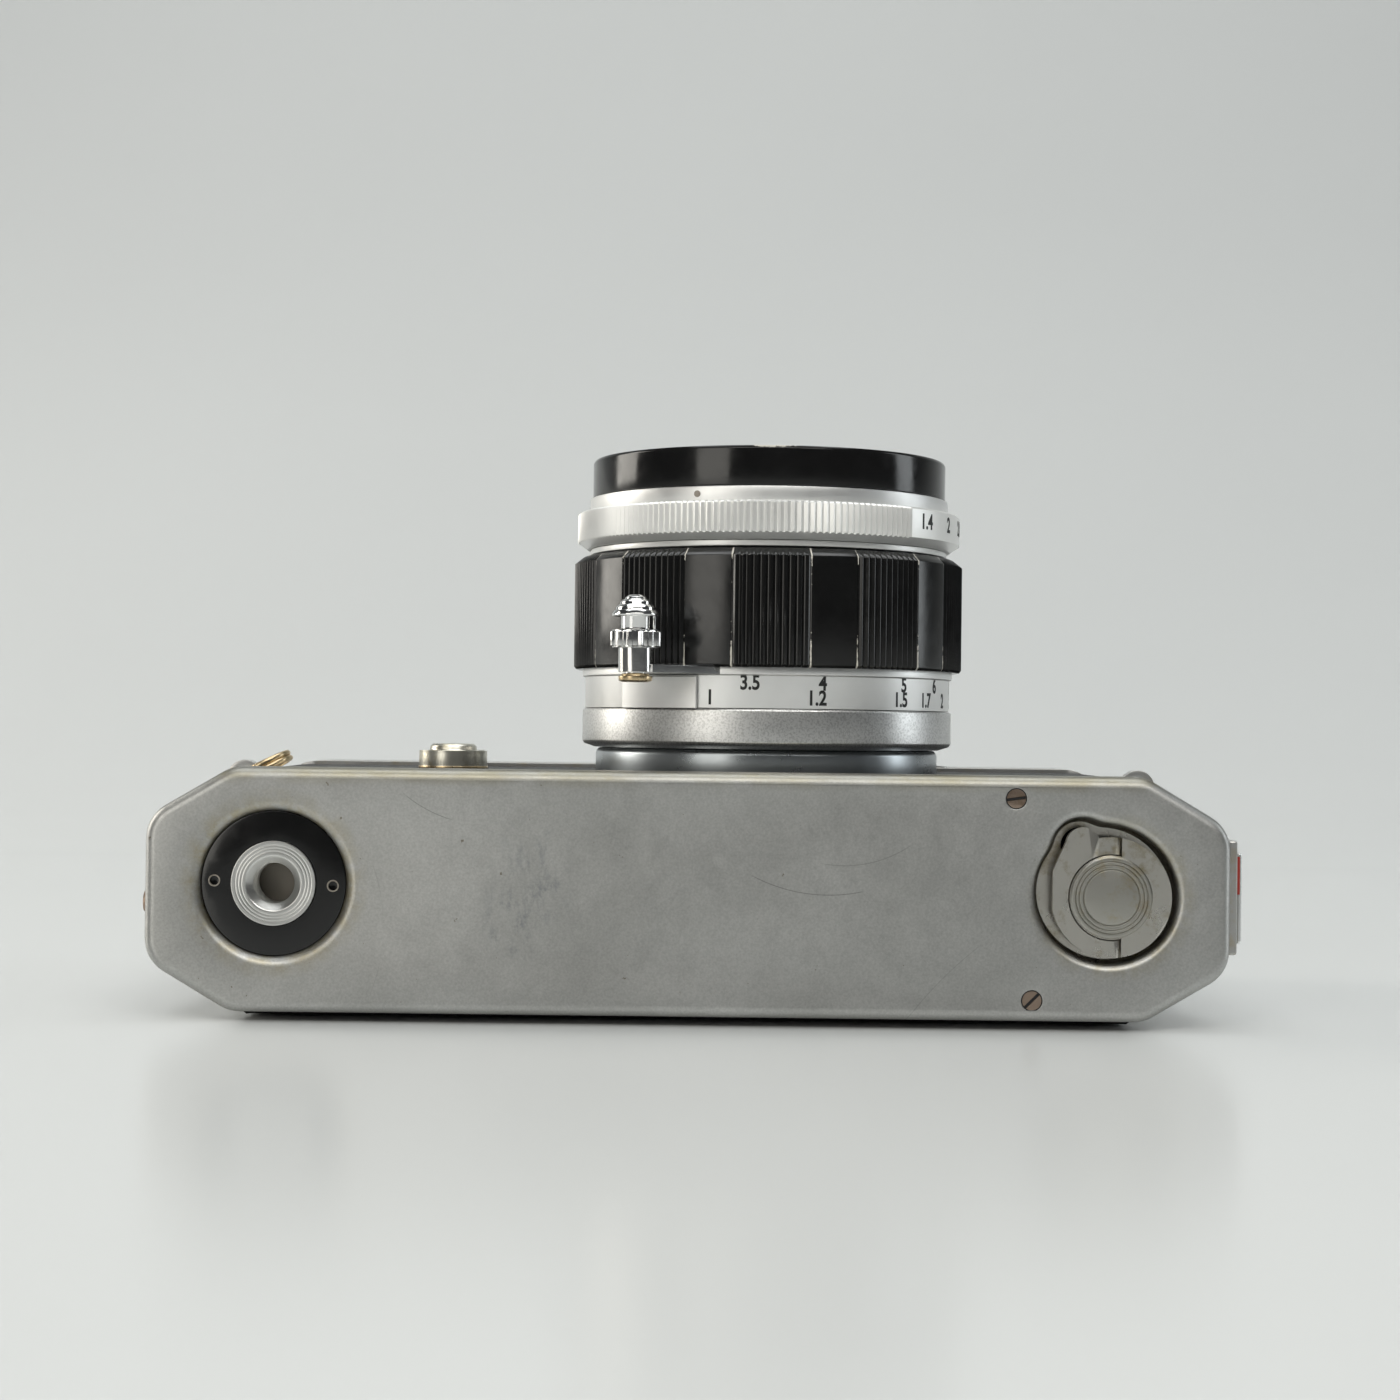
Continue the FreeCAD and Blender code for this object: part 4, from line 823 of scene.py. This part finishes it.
def groove_wave(angle, count, depth):
    """A V-shaped wave round a circle, from 0 at a ridge to the depth in a valley."""
    phase = (angle * count / (2 * math.pi)) % 1
    return depth * (1 - abs(2 * phase - 1))


def lens_ring(name, profile, material, body, slot, *replaced, edge=0.1):
    lathe(name, profile, LENS, material, body, slot, *replaced, steps=240, edge=edge)


def mount_and_scale():
    """The mount, the speckled base ring, and the focus scale in feet and metres."""
    bottom, flange = z_span("body_mount")
    base_top = high("lens_base_ring").z / MM
    scale_low, flange_top = z_span("distance_ring")
    lens_ring("mount_ring", [(19.5, bottom), (24.4, bottom), (24.4, flange - 0.6), (24.0, flange), (19.5, flange)],
              "mount", "chassis", "bright_chrome", "body_mount", edge=0.2)
    outer = radius_of("lens_base_ring") / MM
    ring_top = scale_low - 0.1
    shelf = 36.7
    lens_ring("base_ring", [
        (18.4, bottom), (19.4, bottom), (19.4, flange + 0.1), (24.6, flange + 0.1), (25.0, flange + 0.25),
        (outer - 0.25, flange + 0.6), (outer, flange + 1.0), (outer, ring_top - 0.2), (outer - 0.2, ring_top),
        (22.3, ring_top), (22.3, base_top), (20.6, base_top), (20.6, shelf), (18.4, shelf)],
        "beads", "chassis", "satin_chrome", "lens_base_ring", edge=0.12)
    scale_high = scale_low + 4.5
    lens_ring("scale_ring", [
        (22.4, scale_low), (SCALE_RADIUS, scale_low), (SCALE_RADIUS, scale_high - 0.15), (26.4, scale_high),
        (26.4, flange_top), (22.4, flange_top)], "silver", "focus", "satin_silver", "distance_ring", edge=0.06)
    feet = (("3.5", -6.4), ("4", 15.3), ("5", 44.4), ("6", 61.7), ("8", 84), ("10", 103), ("15", 124), ("30", 143))
    metres = (("1", -18.4), ("1.2", 13.5), ("1.5", 43.1), ("1.7", 56.0), ("2", 69), ("2.5", 88), ("3", 101),
              ("5", 127), ("10", 145))
    for row, height in ((feet, 44.35), (metres, 42.35)):
        for words, angle in row:
            name = "scale_%s_%d" % (words.replace(".", "_"), round(angle + 100))
            wrapped_text(name, words, SCALE_RADIUS * MM, angle, height * MM, 2.75 * MM, "focus")


def catch_tab():
    """The raised catch that the infinity lock meets, part of a ring."""
    bm = bmesh.new()
    inner = 26.12 * MM
    outer = 26.62 * MM
    bottom = low("infinity_catch").z
    top = high("infinity_catch").z
    steps = 24
    columns = []
    for step in range(steps + 1):
        angle = math.radians(-49.3 + 27.1 * step / steps)
        corners = ((inner, bottom), (outer, bottom), (outer, top), (inner, top))
        columns.append([bm.verts.new(on_lens(angle, radius, z)) for radius, z in corners])
    join_loops(bm, columns)
    bm.faces.new(columns[0])
    bm.faces.new(columns[-1])
    piece = from_bmesh("catch_tab", bm, "silver")
    bevel = piece.modifiers.new("soft_edges", "BEVEL")
    bevel.width = 0.08 * MM
    bevel.segments = 2
    bevel.limit_method = "ANGLE"
    settle(piece, "chassis", "satin_chrome", "infinity_catch")


def focus_grip():
    """The black grip: ribbed sections with smooth gaps between them."""
    bottom, top = z_span("focus_ring")
    outer = 27.8
    half_ribs = math.radians(HALF_RIBS)
    section = math.radians(SECTION)

    def wobble(angle, height, radius):
        if radius < 26.4 * MM:
            return radius
        turned = angle - math.radians(RIBS_TURN)
        local = (turned + section / 2) % section - section / 2
        fading = min(1.0, max(0.0, (top * MM - height) / MM))
        if abs(local) > half_ribs:
            return max(radius - 0.3 * MM * fading, min(radius, 26.5 * MM))
        return radius - groove_wave(turned, 180, 0.42 * MM) * fading

    profile = [(22.4, bottom), (outer - 0.3, bottom), (outer, bottom + 0.4), (outer, top - 1.0),
               (outer - 1.3, top), (22.4, top)]
    lathe("focus_grip", profile, LENS, "grip_black", "focus", "black_paint", "focus_ring",
          steps=1440, edge=0.06, wobble=wobble)


def infinity_lock():
    """The focusing tab's sprung knob, with its screw, pin and knurled collar."""
    centre = middle("lock_button")
    stem, top = z_span("lock_button")
    dome = top - 2.9
    knob = [(0, stem + 1.0), (1.42, stem + 1.0), (1.42, dome - 1.65), (1.95, dome - 1.65), (1.95, dome)]
    for radius, rise in ((3.1, 0), (3.15, 0.25), (2.85, 0.75), (2.7, 0.8), (2.65, 1.15), (2.3, 1.5), (2.12, 1.55),
                         (2.05, 1.9), (1.7, 2.2), (1.5, 2.25), (1.4, 2.5), (0.9, 2.82), (0.4, 2.89), (0, 2.9)):
        knob.append((radius, dome + rise))
    lathe("lock_knob", knob, centre, "polished", "lock_button", "bright_chrome", "lock_button", steps=64, edge=0.05)
    screw = [(0, stem), (1.7, stem), (2.2, stem + 0.2), (2.25, stem + 0.75), (1.9, stem + 0.8), (1.8, stem + 1.1),
             (0, stem + 1.1)]
    lathe("lock_screw", screw, centre, "brass", "lock_button", "nickel_screw", steps=64, edge=0.05)
    pin_place = centre + Vector((2.4, -0.3, 0)) * MM
    pin = [(0, dome - 1.9), (0.2, dome - 1.9), (0.2, dome + 0.05), (0, dome + 0.05)]
    lathe("lock_pin", pin, pin_place, "polished", "lock_button", "bright_chrome", steps=16, edge=0.03)

    def knurl(angle, height, radius):
        return radius - (groove_wave(angle, 26, 0.22 * MM) if radius > 2.9 * MM else 0)

    bottom = high("lock_arm").z / MM - 2.3
    collar = [(2.3, bottom - 0.05), (2.9, bottom - 0.05), (3.3, bottom + 0.25), (3.3, bottom + 2.05),
              (2.9, bottom + 2.35), (2.3, bottom + 2.35)]
    lathe("lock_collar", collar, centre, "bright", "focus", "bright_chrome", steps=208, edge=0.05, wobble=knurl)


def aperture():
    """The pale aperture ring, knurled round part of its edge, with its numerals."""
    bottom, top = z_span("aperture_ring")
    outer = 27.3
    first = math.radians(-180)
    last = math.radians(44)

    def wobble(angle, height, radius):
        signed = (angle + math.pi) % (2 * math.pi) - math.pi
        if not first < signed < last or radius < 26.9 * MM or height < (bottom + 0.85) * MM:
            return radius
        return radius - groove_wave(angle, 190, 0.3 * MM)

    profile = [(23.05, bottom), (25.9, bottom), (27.0, bottom + 0.8), (outer, bottom + 0.95),
               (outer, top - 0.25), (27.0, top), (23.05, top)]
    lathe("aperture_grip", profile, LENS, "pale", "aperture_ring", "satin_silver", "aperture_ring",
          steps=1520, edge=0.05, wobble=wobble)
    for index, words in enumerate(("1.4", "2", "2.8", "4", "5.6", "8", "11", "16", "22")):
        wrapped_text("stop_" + words.replace(".", "_"), words, outer * MM, 51 + 13.8 * index,
                     (top - 1.95) * MM, 2.9 * MM, "aperture_ring")


def front_group():
    """The inner barrel, silver band, black rim, name ring and front glass, and a set screw."""
    band = low("index_band").z / MM
    rim, top = z_span("filter_rim")
    barrel_band = low("aperture_ring").z / MM - 0.1
    start = low("front_barrel").z / MM
    bore = 20.2
    lens_ring("inner_barrel", [
        (18.6, start), (20.55, start), (20.55, barrel_band - 0.76), (25.5, barrel_band - 0.76),
        (25.5, barrel_band), (23.0, barrel_band), (23.0, band), (bore, band), (bore, 64.4), (18.6, 64.4),
        (18.6, 56), (12, 56), (12, 52), (18.6, 52)], "pale", "front_group", "satin_silver", "front_barrel")
    lens_ring("silver_band", [(bore, band), (25.6, band), (25.6, rim - 0.1), (25.2, rim), (bore, rim)],
              "silver", "front_group", "satin_silver", "index_band")
    profile = [(bore, rim), (25.0, rim), (25.2, rim + 0.15), (25.2, top - 0.35), (25.0, top), (24.4, top),
               (24.35, top - 0.3)]
    thread = 23.78
    pitch = 0.6
    height = top - 0.5
    while height > rim + 1.9:
        profile += [(thread, height), (24.15, height - pitch / 2)]
        height -= pitch
    profile += [(thread, height), (thread, rim + 1.0), (bore, rim + 1.0)]
    lens_ring("black_rim", profile, "rim_black", "front_group", "black_paint", "filter_rim", edge=0.05)
    seat = low("name_ring").z / MM
    lens_ring("beauty_ring", [
        (18.9, seat), (20.1, seat), (20.1, rim + 1.0), (23.4, rim + 1.0), (23.4, rim + 1.5), (22.6, rim + 1.45),
        (bore, rim + 1.2), (20.0, rim + 1.3), (18.9, rim + 0.2)],
        "black", "front_group", "black_ring", "name_ring", edge=0.05)
    glass_low, glass_top = z_span("front_element")
    profile = [(0, glass_low), (19.6, glass_low), (19.6, glass_top - 4.2)]
    for step in range(1, 13):
        part = 1 - step / 12
        profile.append((19.0 * part, glass_top - 3.7 * part ** 2))
    lens_ring("front_glass", profile, "glass", "front_group", "clear_glass", "front_element", edge=0.02)
    bm = bmesh.new()
    bmesh.ops.create_cone(bm, cap_ends=True, segments=24, radius1=0.45 * MM, radius2=0.45 * MM, depth=0.5 * MM)
    for vert in bm.verts:
        reach = 25.45 * MM + vert.co.z
        vert.co = on_lens(math.radians(-23.5) + vert.co.x / reach, reach, 69.7 * MM + vert.co.y)
    settle(from_bmesh("set_screw", bm, "dusty"), "front_group", "nickel_screw")


# ------------------------------------------------------------------ front fittings

def self_timer():
    base = high("self_timer").z / MM - 3.4
    hub = [(0, base), (4.6, base), (4.88, base + 0.3), (4.88, base + 2.1), (4.6, base + 2.45), (3.5, base + 2.45),
           (3.4, base + 2.6), (3.3, base + 3.1), (2.95, base + 3.4), (2.1, base + 3.45), (1.9, base + 3.3),
           (0, base + 3.3)]
    lathe("timer_hub", hub, TIMER, "warm", "self_timer", "bright_chrome", steps=96, edge=0.08)
    ring = [(4.2, base - 0.1), (4.98, base - 0.1), (4.98, base + 0.25), (4.2, base + 0.25)]
    lathe("timer_washer", ring, TIMER, "brass", "self_timer", "brass_ring", steps=96, edge=0.05)


def latch_mark():
    """The red mark set into the door latch."""
    box_low, box_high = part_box("latch_slider")
    left = box_low.x + 1.2 * MM
    right = box_high.x - 0.3 * MM
    bottom = box_low.z + 6.4 * MM
    top = box_high.z - 0.5 * MM
    corners = ((left, bottom), (right, bottom), (right, top), (left, top))
    bm = bmesh.new()
    near = loop_at(bm, corners, box_low.y - 0.05 * MM)
    far = loop_at(bm, corners, box_low.y + 0.25 * MM)
    bm.faces.new(near)
    bm.faces.new(far)
    join_loops(bm, [near, far])
    settle(from_bmesh("latch_mark", bm, "red"), "latch_slider", "bright_chrome")


# ------------------------------------------------------------------ top cover and its controls

def honeycomb():
    """The meter window: a sheet of small hexagonal lenses."""
    box_low, box_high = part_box("meter_window")
    margin = 0.9 * MM
    x_low = box_low.x + margin
    x_high = box_high.x - margin
    y_low = box_low.y + margin
    y_high = box_high.y - margin
    face = box_high.z
    pitch = 1.9 * MM
    bm = bmesh.new()
    row_step = pitch * math.sqrt(3) / 2
    rows = int((y_high - y_low) / row_step) + 1
    columns = int((x_high - x_low) / pitch) + 1
    for row in range(rows + 1):
        for column in range(columns + 1):
            x = x_low + (column + 0.5 * (row % 2)) * pitch
            y = y_low + row * row_step
            rings = []
            for reach, drop in ((0.98, 0.55), (0.85, 0.3), (0.6, 0.12), (0.3, 0.02)):
                ring = []
                for corner in range(6):
                    angle = math.radians(60 * corner + 30)
                    px = min(max(x + reach * pitch / math.sqrt(3) * math.cos(angle), x_low), x_high)
                    py = min(max(y + reach * pitch / math.sqrt(3) * math.sin(angle), y_low), y_high)
                    ring.append(bm.verts.new((px, py, face - drop * MM)))
                rings.append(ring)
            join_loops(bm, rings)
            bm.faces.new(rings[-1])
    bmesh.ops.dissolve_degenerate(bm, edges=bm.edges, dist=1e-7)
    settle(from_bmesh("meter_honeycomb", bm, "amber", 60), "chassis", "meter_cell_window")


def window_frames():
    """Thin raised frames round the three front windows."""
    places = {"viewfinder_frame": (33.5, 11.0, 30.5, 8.6), "rangefinder_frame": (-5.5, 5.4, 30.5, 5.4),
              "meter_frame": (12.5, 25.0, 30.5, 11.0)}
    top = PLATE_FRONT + 0.25 * MM
    for name, (x, width, y, height) in places.items():
        bm = bmesh.new()
        loops = []
        for grow, z in ((0.9, PLATE_FRONT - 0.3 * MM), (0.9, top - 0.1 * MM), (0.75, top), (0.2, top),
                        (0.05, top - 0.15 * MM), (0.0, PLATE_FRONT - 0.5 * MM)):
            half_x = width / 2 + grow
            half_y = height / 2 + grow
            corner = 0.6 + grow * 0.6
            loop = []
            for sx, sy, start in ((1, 1, 0), (-1, 1, 90), (-1, -1, 180), (1, -1, 270)):
                for part in range(5):
                    angle = math.radians(start + 22.5 * part)
                    px = x + sx * (half_x - corner) + corner * math.cos(angle)
                    py = y + sy * (half_y - corner) + corner * math.sin(angle)
                    loop.append(bm.verts.new((px * MM, py * MM, z)))
            loops.append(loop)
        join_loops(bm, loops)
        settle(from_bmesh(name, bm, "polished"), "chassis", "bright_chrome")


def dials():
    """Knurled edges for the speed dial and the rewind knob, and the dials' numerals."""
    lower = 34.7
    knobs = (("speed_knob", "speed_dial", 90, 39.3), ("rewind_grip", "rewind_knob", 100, 37.8))
    for name, dial, teeth, upper in knobs:
        outer = radius_of(dial) / MM

        def wobble(angle, height, radius, teeth=teeth, outer=outer):
            return radius - (groove_wave(angle, teeth, 0.25 * MM) if radius > (outer - 0.3) * MM else 0)

        profile = [(0, lower), (outer - 0.4, lower), (outer + 0.04, lower + 0.4), (outer + 0.04, upper - 0.5),
                   (outer - 0.5, upper + 0.02), (0, upper + 0.02)]
        lathe(name, profile, middle(dial), "cover", dial, "satin_chrome",
              axis="y", steps=teeth * 8, edge=0.05, wobble=wobble)
    speeds = ("B", "1", "2", "4", "8", "15", "30", "60", "125", "250", "500", "1000")
    dial_text("speed_", speeds, "speed_dial", 5.9, 39.34, 1.7, 0, 30)
    dial_text("frame_", ("35", "50", "85", "100", "135"), "frame_selector", 4.2, 40.42, 1.5, -80, 40)


def cad_nodes():
    """The CAD nodes that keep their own shape, by material and bevel in millimetres."""
    for material, bevel, nodes in (
            ("matt_black", 0.2, ["body_casting"]),
            ("matt_black", 0.1, ["supply_chamber", "take_up_chamber", "shutter_crate", "take_up_spool",
                                 "meter_works", "meter_window"]),
            ("matt_black", 0, ["shutter_curtain"]),
            ("steel", 0.1, ["film_gate", "curtain_drums", "film_sprocket", "pressure_springs", "top_chassis"]),
            ("steel", 0, ["hinge_pin"]),
            ("cover", 0.2, ["back_door", "speed_dial", "rewind_knob", "frame_selector"]),
            ("cover", 0.25, ["strap_lugs", "top_cover"]),
            ("cover", 0.3, ["latch_plate"]),
            ("black", 0.2, ["pressure_plate", "eyepiece"]),
            ("black", 0.1, ["frame_counter"]),
            ("bright", 0, ["strap_ring_right"]),
            ("bright", 0.12, ["lock_arm"]),
            ("bright", 0.2, ["release_collar", "rewind_crank"]),
            ("bright", 0.3, ["wind_lever"]),
            ("bright", 0.35, ["latch_slider"]),
            ("glass", 0.1, ["finder_windows", "finder_prisms", "meter_scale_glass"]),
            ("glass", 0, ["eyepiece_lens", "rear_element"]),
            ("well", 0.14, ["key_flap", "key_body"]),
            ("warm", 0.2, ["self_timer"]),
            ("polished", 0.15, ["shutter_button"]),
            ("screw", 0.08, ["case_screws"]),
            ("brass", 0, ["strap_ring_left"]),
            ("red", 0, ["meter_needle"])):
        for node in nodes:
            dress(node, material, bevel)


# ------------------------------------------------------------------ stage

def cyclorama():
    """A pale floor that sweeps up into a wall, in one sheet just under the camera."""
    bm = bmesh.new()
    reach = 3.5
    back = 0.35
    sweep = 1.1
    gap = 0.0002
    profile = [(-reach, 0.0), (back, 0.0)]
    for step in range(1, 33):
        angle = math.pi / 2 * step / 32
        profile.append((back + sweep * math.sin(angle), sweep * (1 - math.cos(angle))))
    profile.append((back + sweep, reach))
    rows = [[bm.verts.new((x, y, z - gap)) for x in (-reach, reach)] for y, z in profile]
    for first, second in zip(rows, rows[1:]):
        bm.faces.new((first[0], first[1], second[1], second[0]))
    mesh = bpy.data.meshes.new("pale_stage")
    bm.to_mesh(mesh)
    bm.free()
    material, tree, shader = new_material("pale_floor")
    tone = ramp(tree, noise_node(tree, 3, 2, 0.5), [(0.2, (0.7, 0.715, 0.71)), (0.8, (0.72, 0.735, 0.73))])
    tree.links.new(tone, shader.inputs["Base Color"])
    shader.inputs["Roughness"].default_value = 0.22
    mesh.materials.append(material)
    mesh.shade_smooth()
    add_object("pale_stage", mesh)


def area_light(name, place, target, width, height, power, colour):
    data = bpy.data.lights.new(name, "AREA")
    data.shape = "RECTANGLE"
    data.size = width
    data.size_y = height
    data.energy = power
    data.color = colour
    light = add_object(name, data)
    light.location = place
    light.rotation_euler = (Vector(target) - Vector(place)).to_track_quat("-Z", "Y").to_euler()


def camera():
    data = bpy.data.cameras.new("camera")
    data.sensor_width = 36
    data.lens = 62.8
    data.clip_start = 0.01
    eye = add_object("camera", data)
    eye.location = Vector((1.7 * MM, BASE_Y - 314.2 * MM, 38.1 * MM))
    pitch = math.radians(0.69)
    yaw = math.radians(-0.07)
    roll = math.radians(0.70)
    forward = Vector((math.sin(yaw) * math.cos(pitch), math.cos(yaw) * math.cos(pitch), math.sin(pitch)))
    right = Vector((math.cos(yaw), -math.sin(yaw), 0))
    up = right.cross(forward)
    rolled_right = right * math.cos(roll) + up * math.sin(roll)
    rolled_up = up * math.cos(roll) - right * math.sin(roll)
    eye.rotation_euler = Matrix((rolled_right, rolled_up, -forward)).transposed().to_euler()
    bpy.context.scene.camera = eye


def lights():
    world = bpy.data.worlds.new("studio")
    world.use_nodes = True
    background = world.node_tree.nodes["Background"]
    background.inputs["Color"].default_value = (0.86, 0.9, 0.93, 1)
    background.inputs["Strength"].default_value = 0.06
    bpy.context.scene.world = world
    target = (0, 0, 0.04)
    area_light("key_left", (-0.66, -0.88, 0.25), target, 0.42, 0.8, 2.4, (1.0, 0.97, 0.9))
    area_light("side_left", (-1.2, 0.35, 0.5), target, 0.5, 0.9, 7, (1.0, 0.96, 0.88))
    area_light("front_top", (0.1, -0.95, 0.95), target, 1.3, 0.5, 9, (1.0, 0.99, 0.95))
    area_light("fill_right", (1.1, 0.1, 0.4), target, 0.3, 0.9, 2.4, (0.93, 0.98, 1.0))
    area_light("overhead", (0.0, 0.1, 1.7), (0, 0.3, 0), 1.6, 1.2, 9, (0.98, 1, 1))
    area_light("wall_wash", (0.0, 0.0, 2.2), (0, 1.4, 0.7), 2.4, 0.8, 12, (0.98, 1, 1))
    bpy.context.scene.view_settings.view_transform = "Standard"


camera()
base_plate()
screw_gaps()
socket_ring()
tripod_socket()
door_key()
skins()
mount_and_scale()
catch_tab()
focus_grip()
infinity_lock()
aperture()
front_group()
self_timer()
latch_mark()
honeycomb()
window_frames()
dials()
cad_nodes()
cyclorama()
lights()
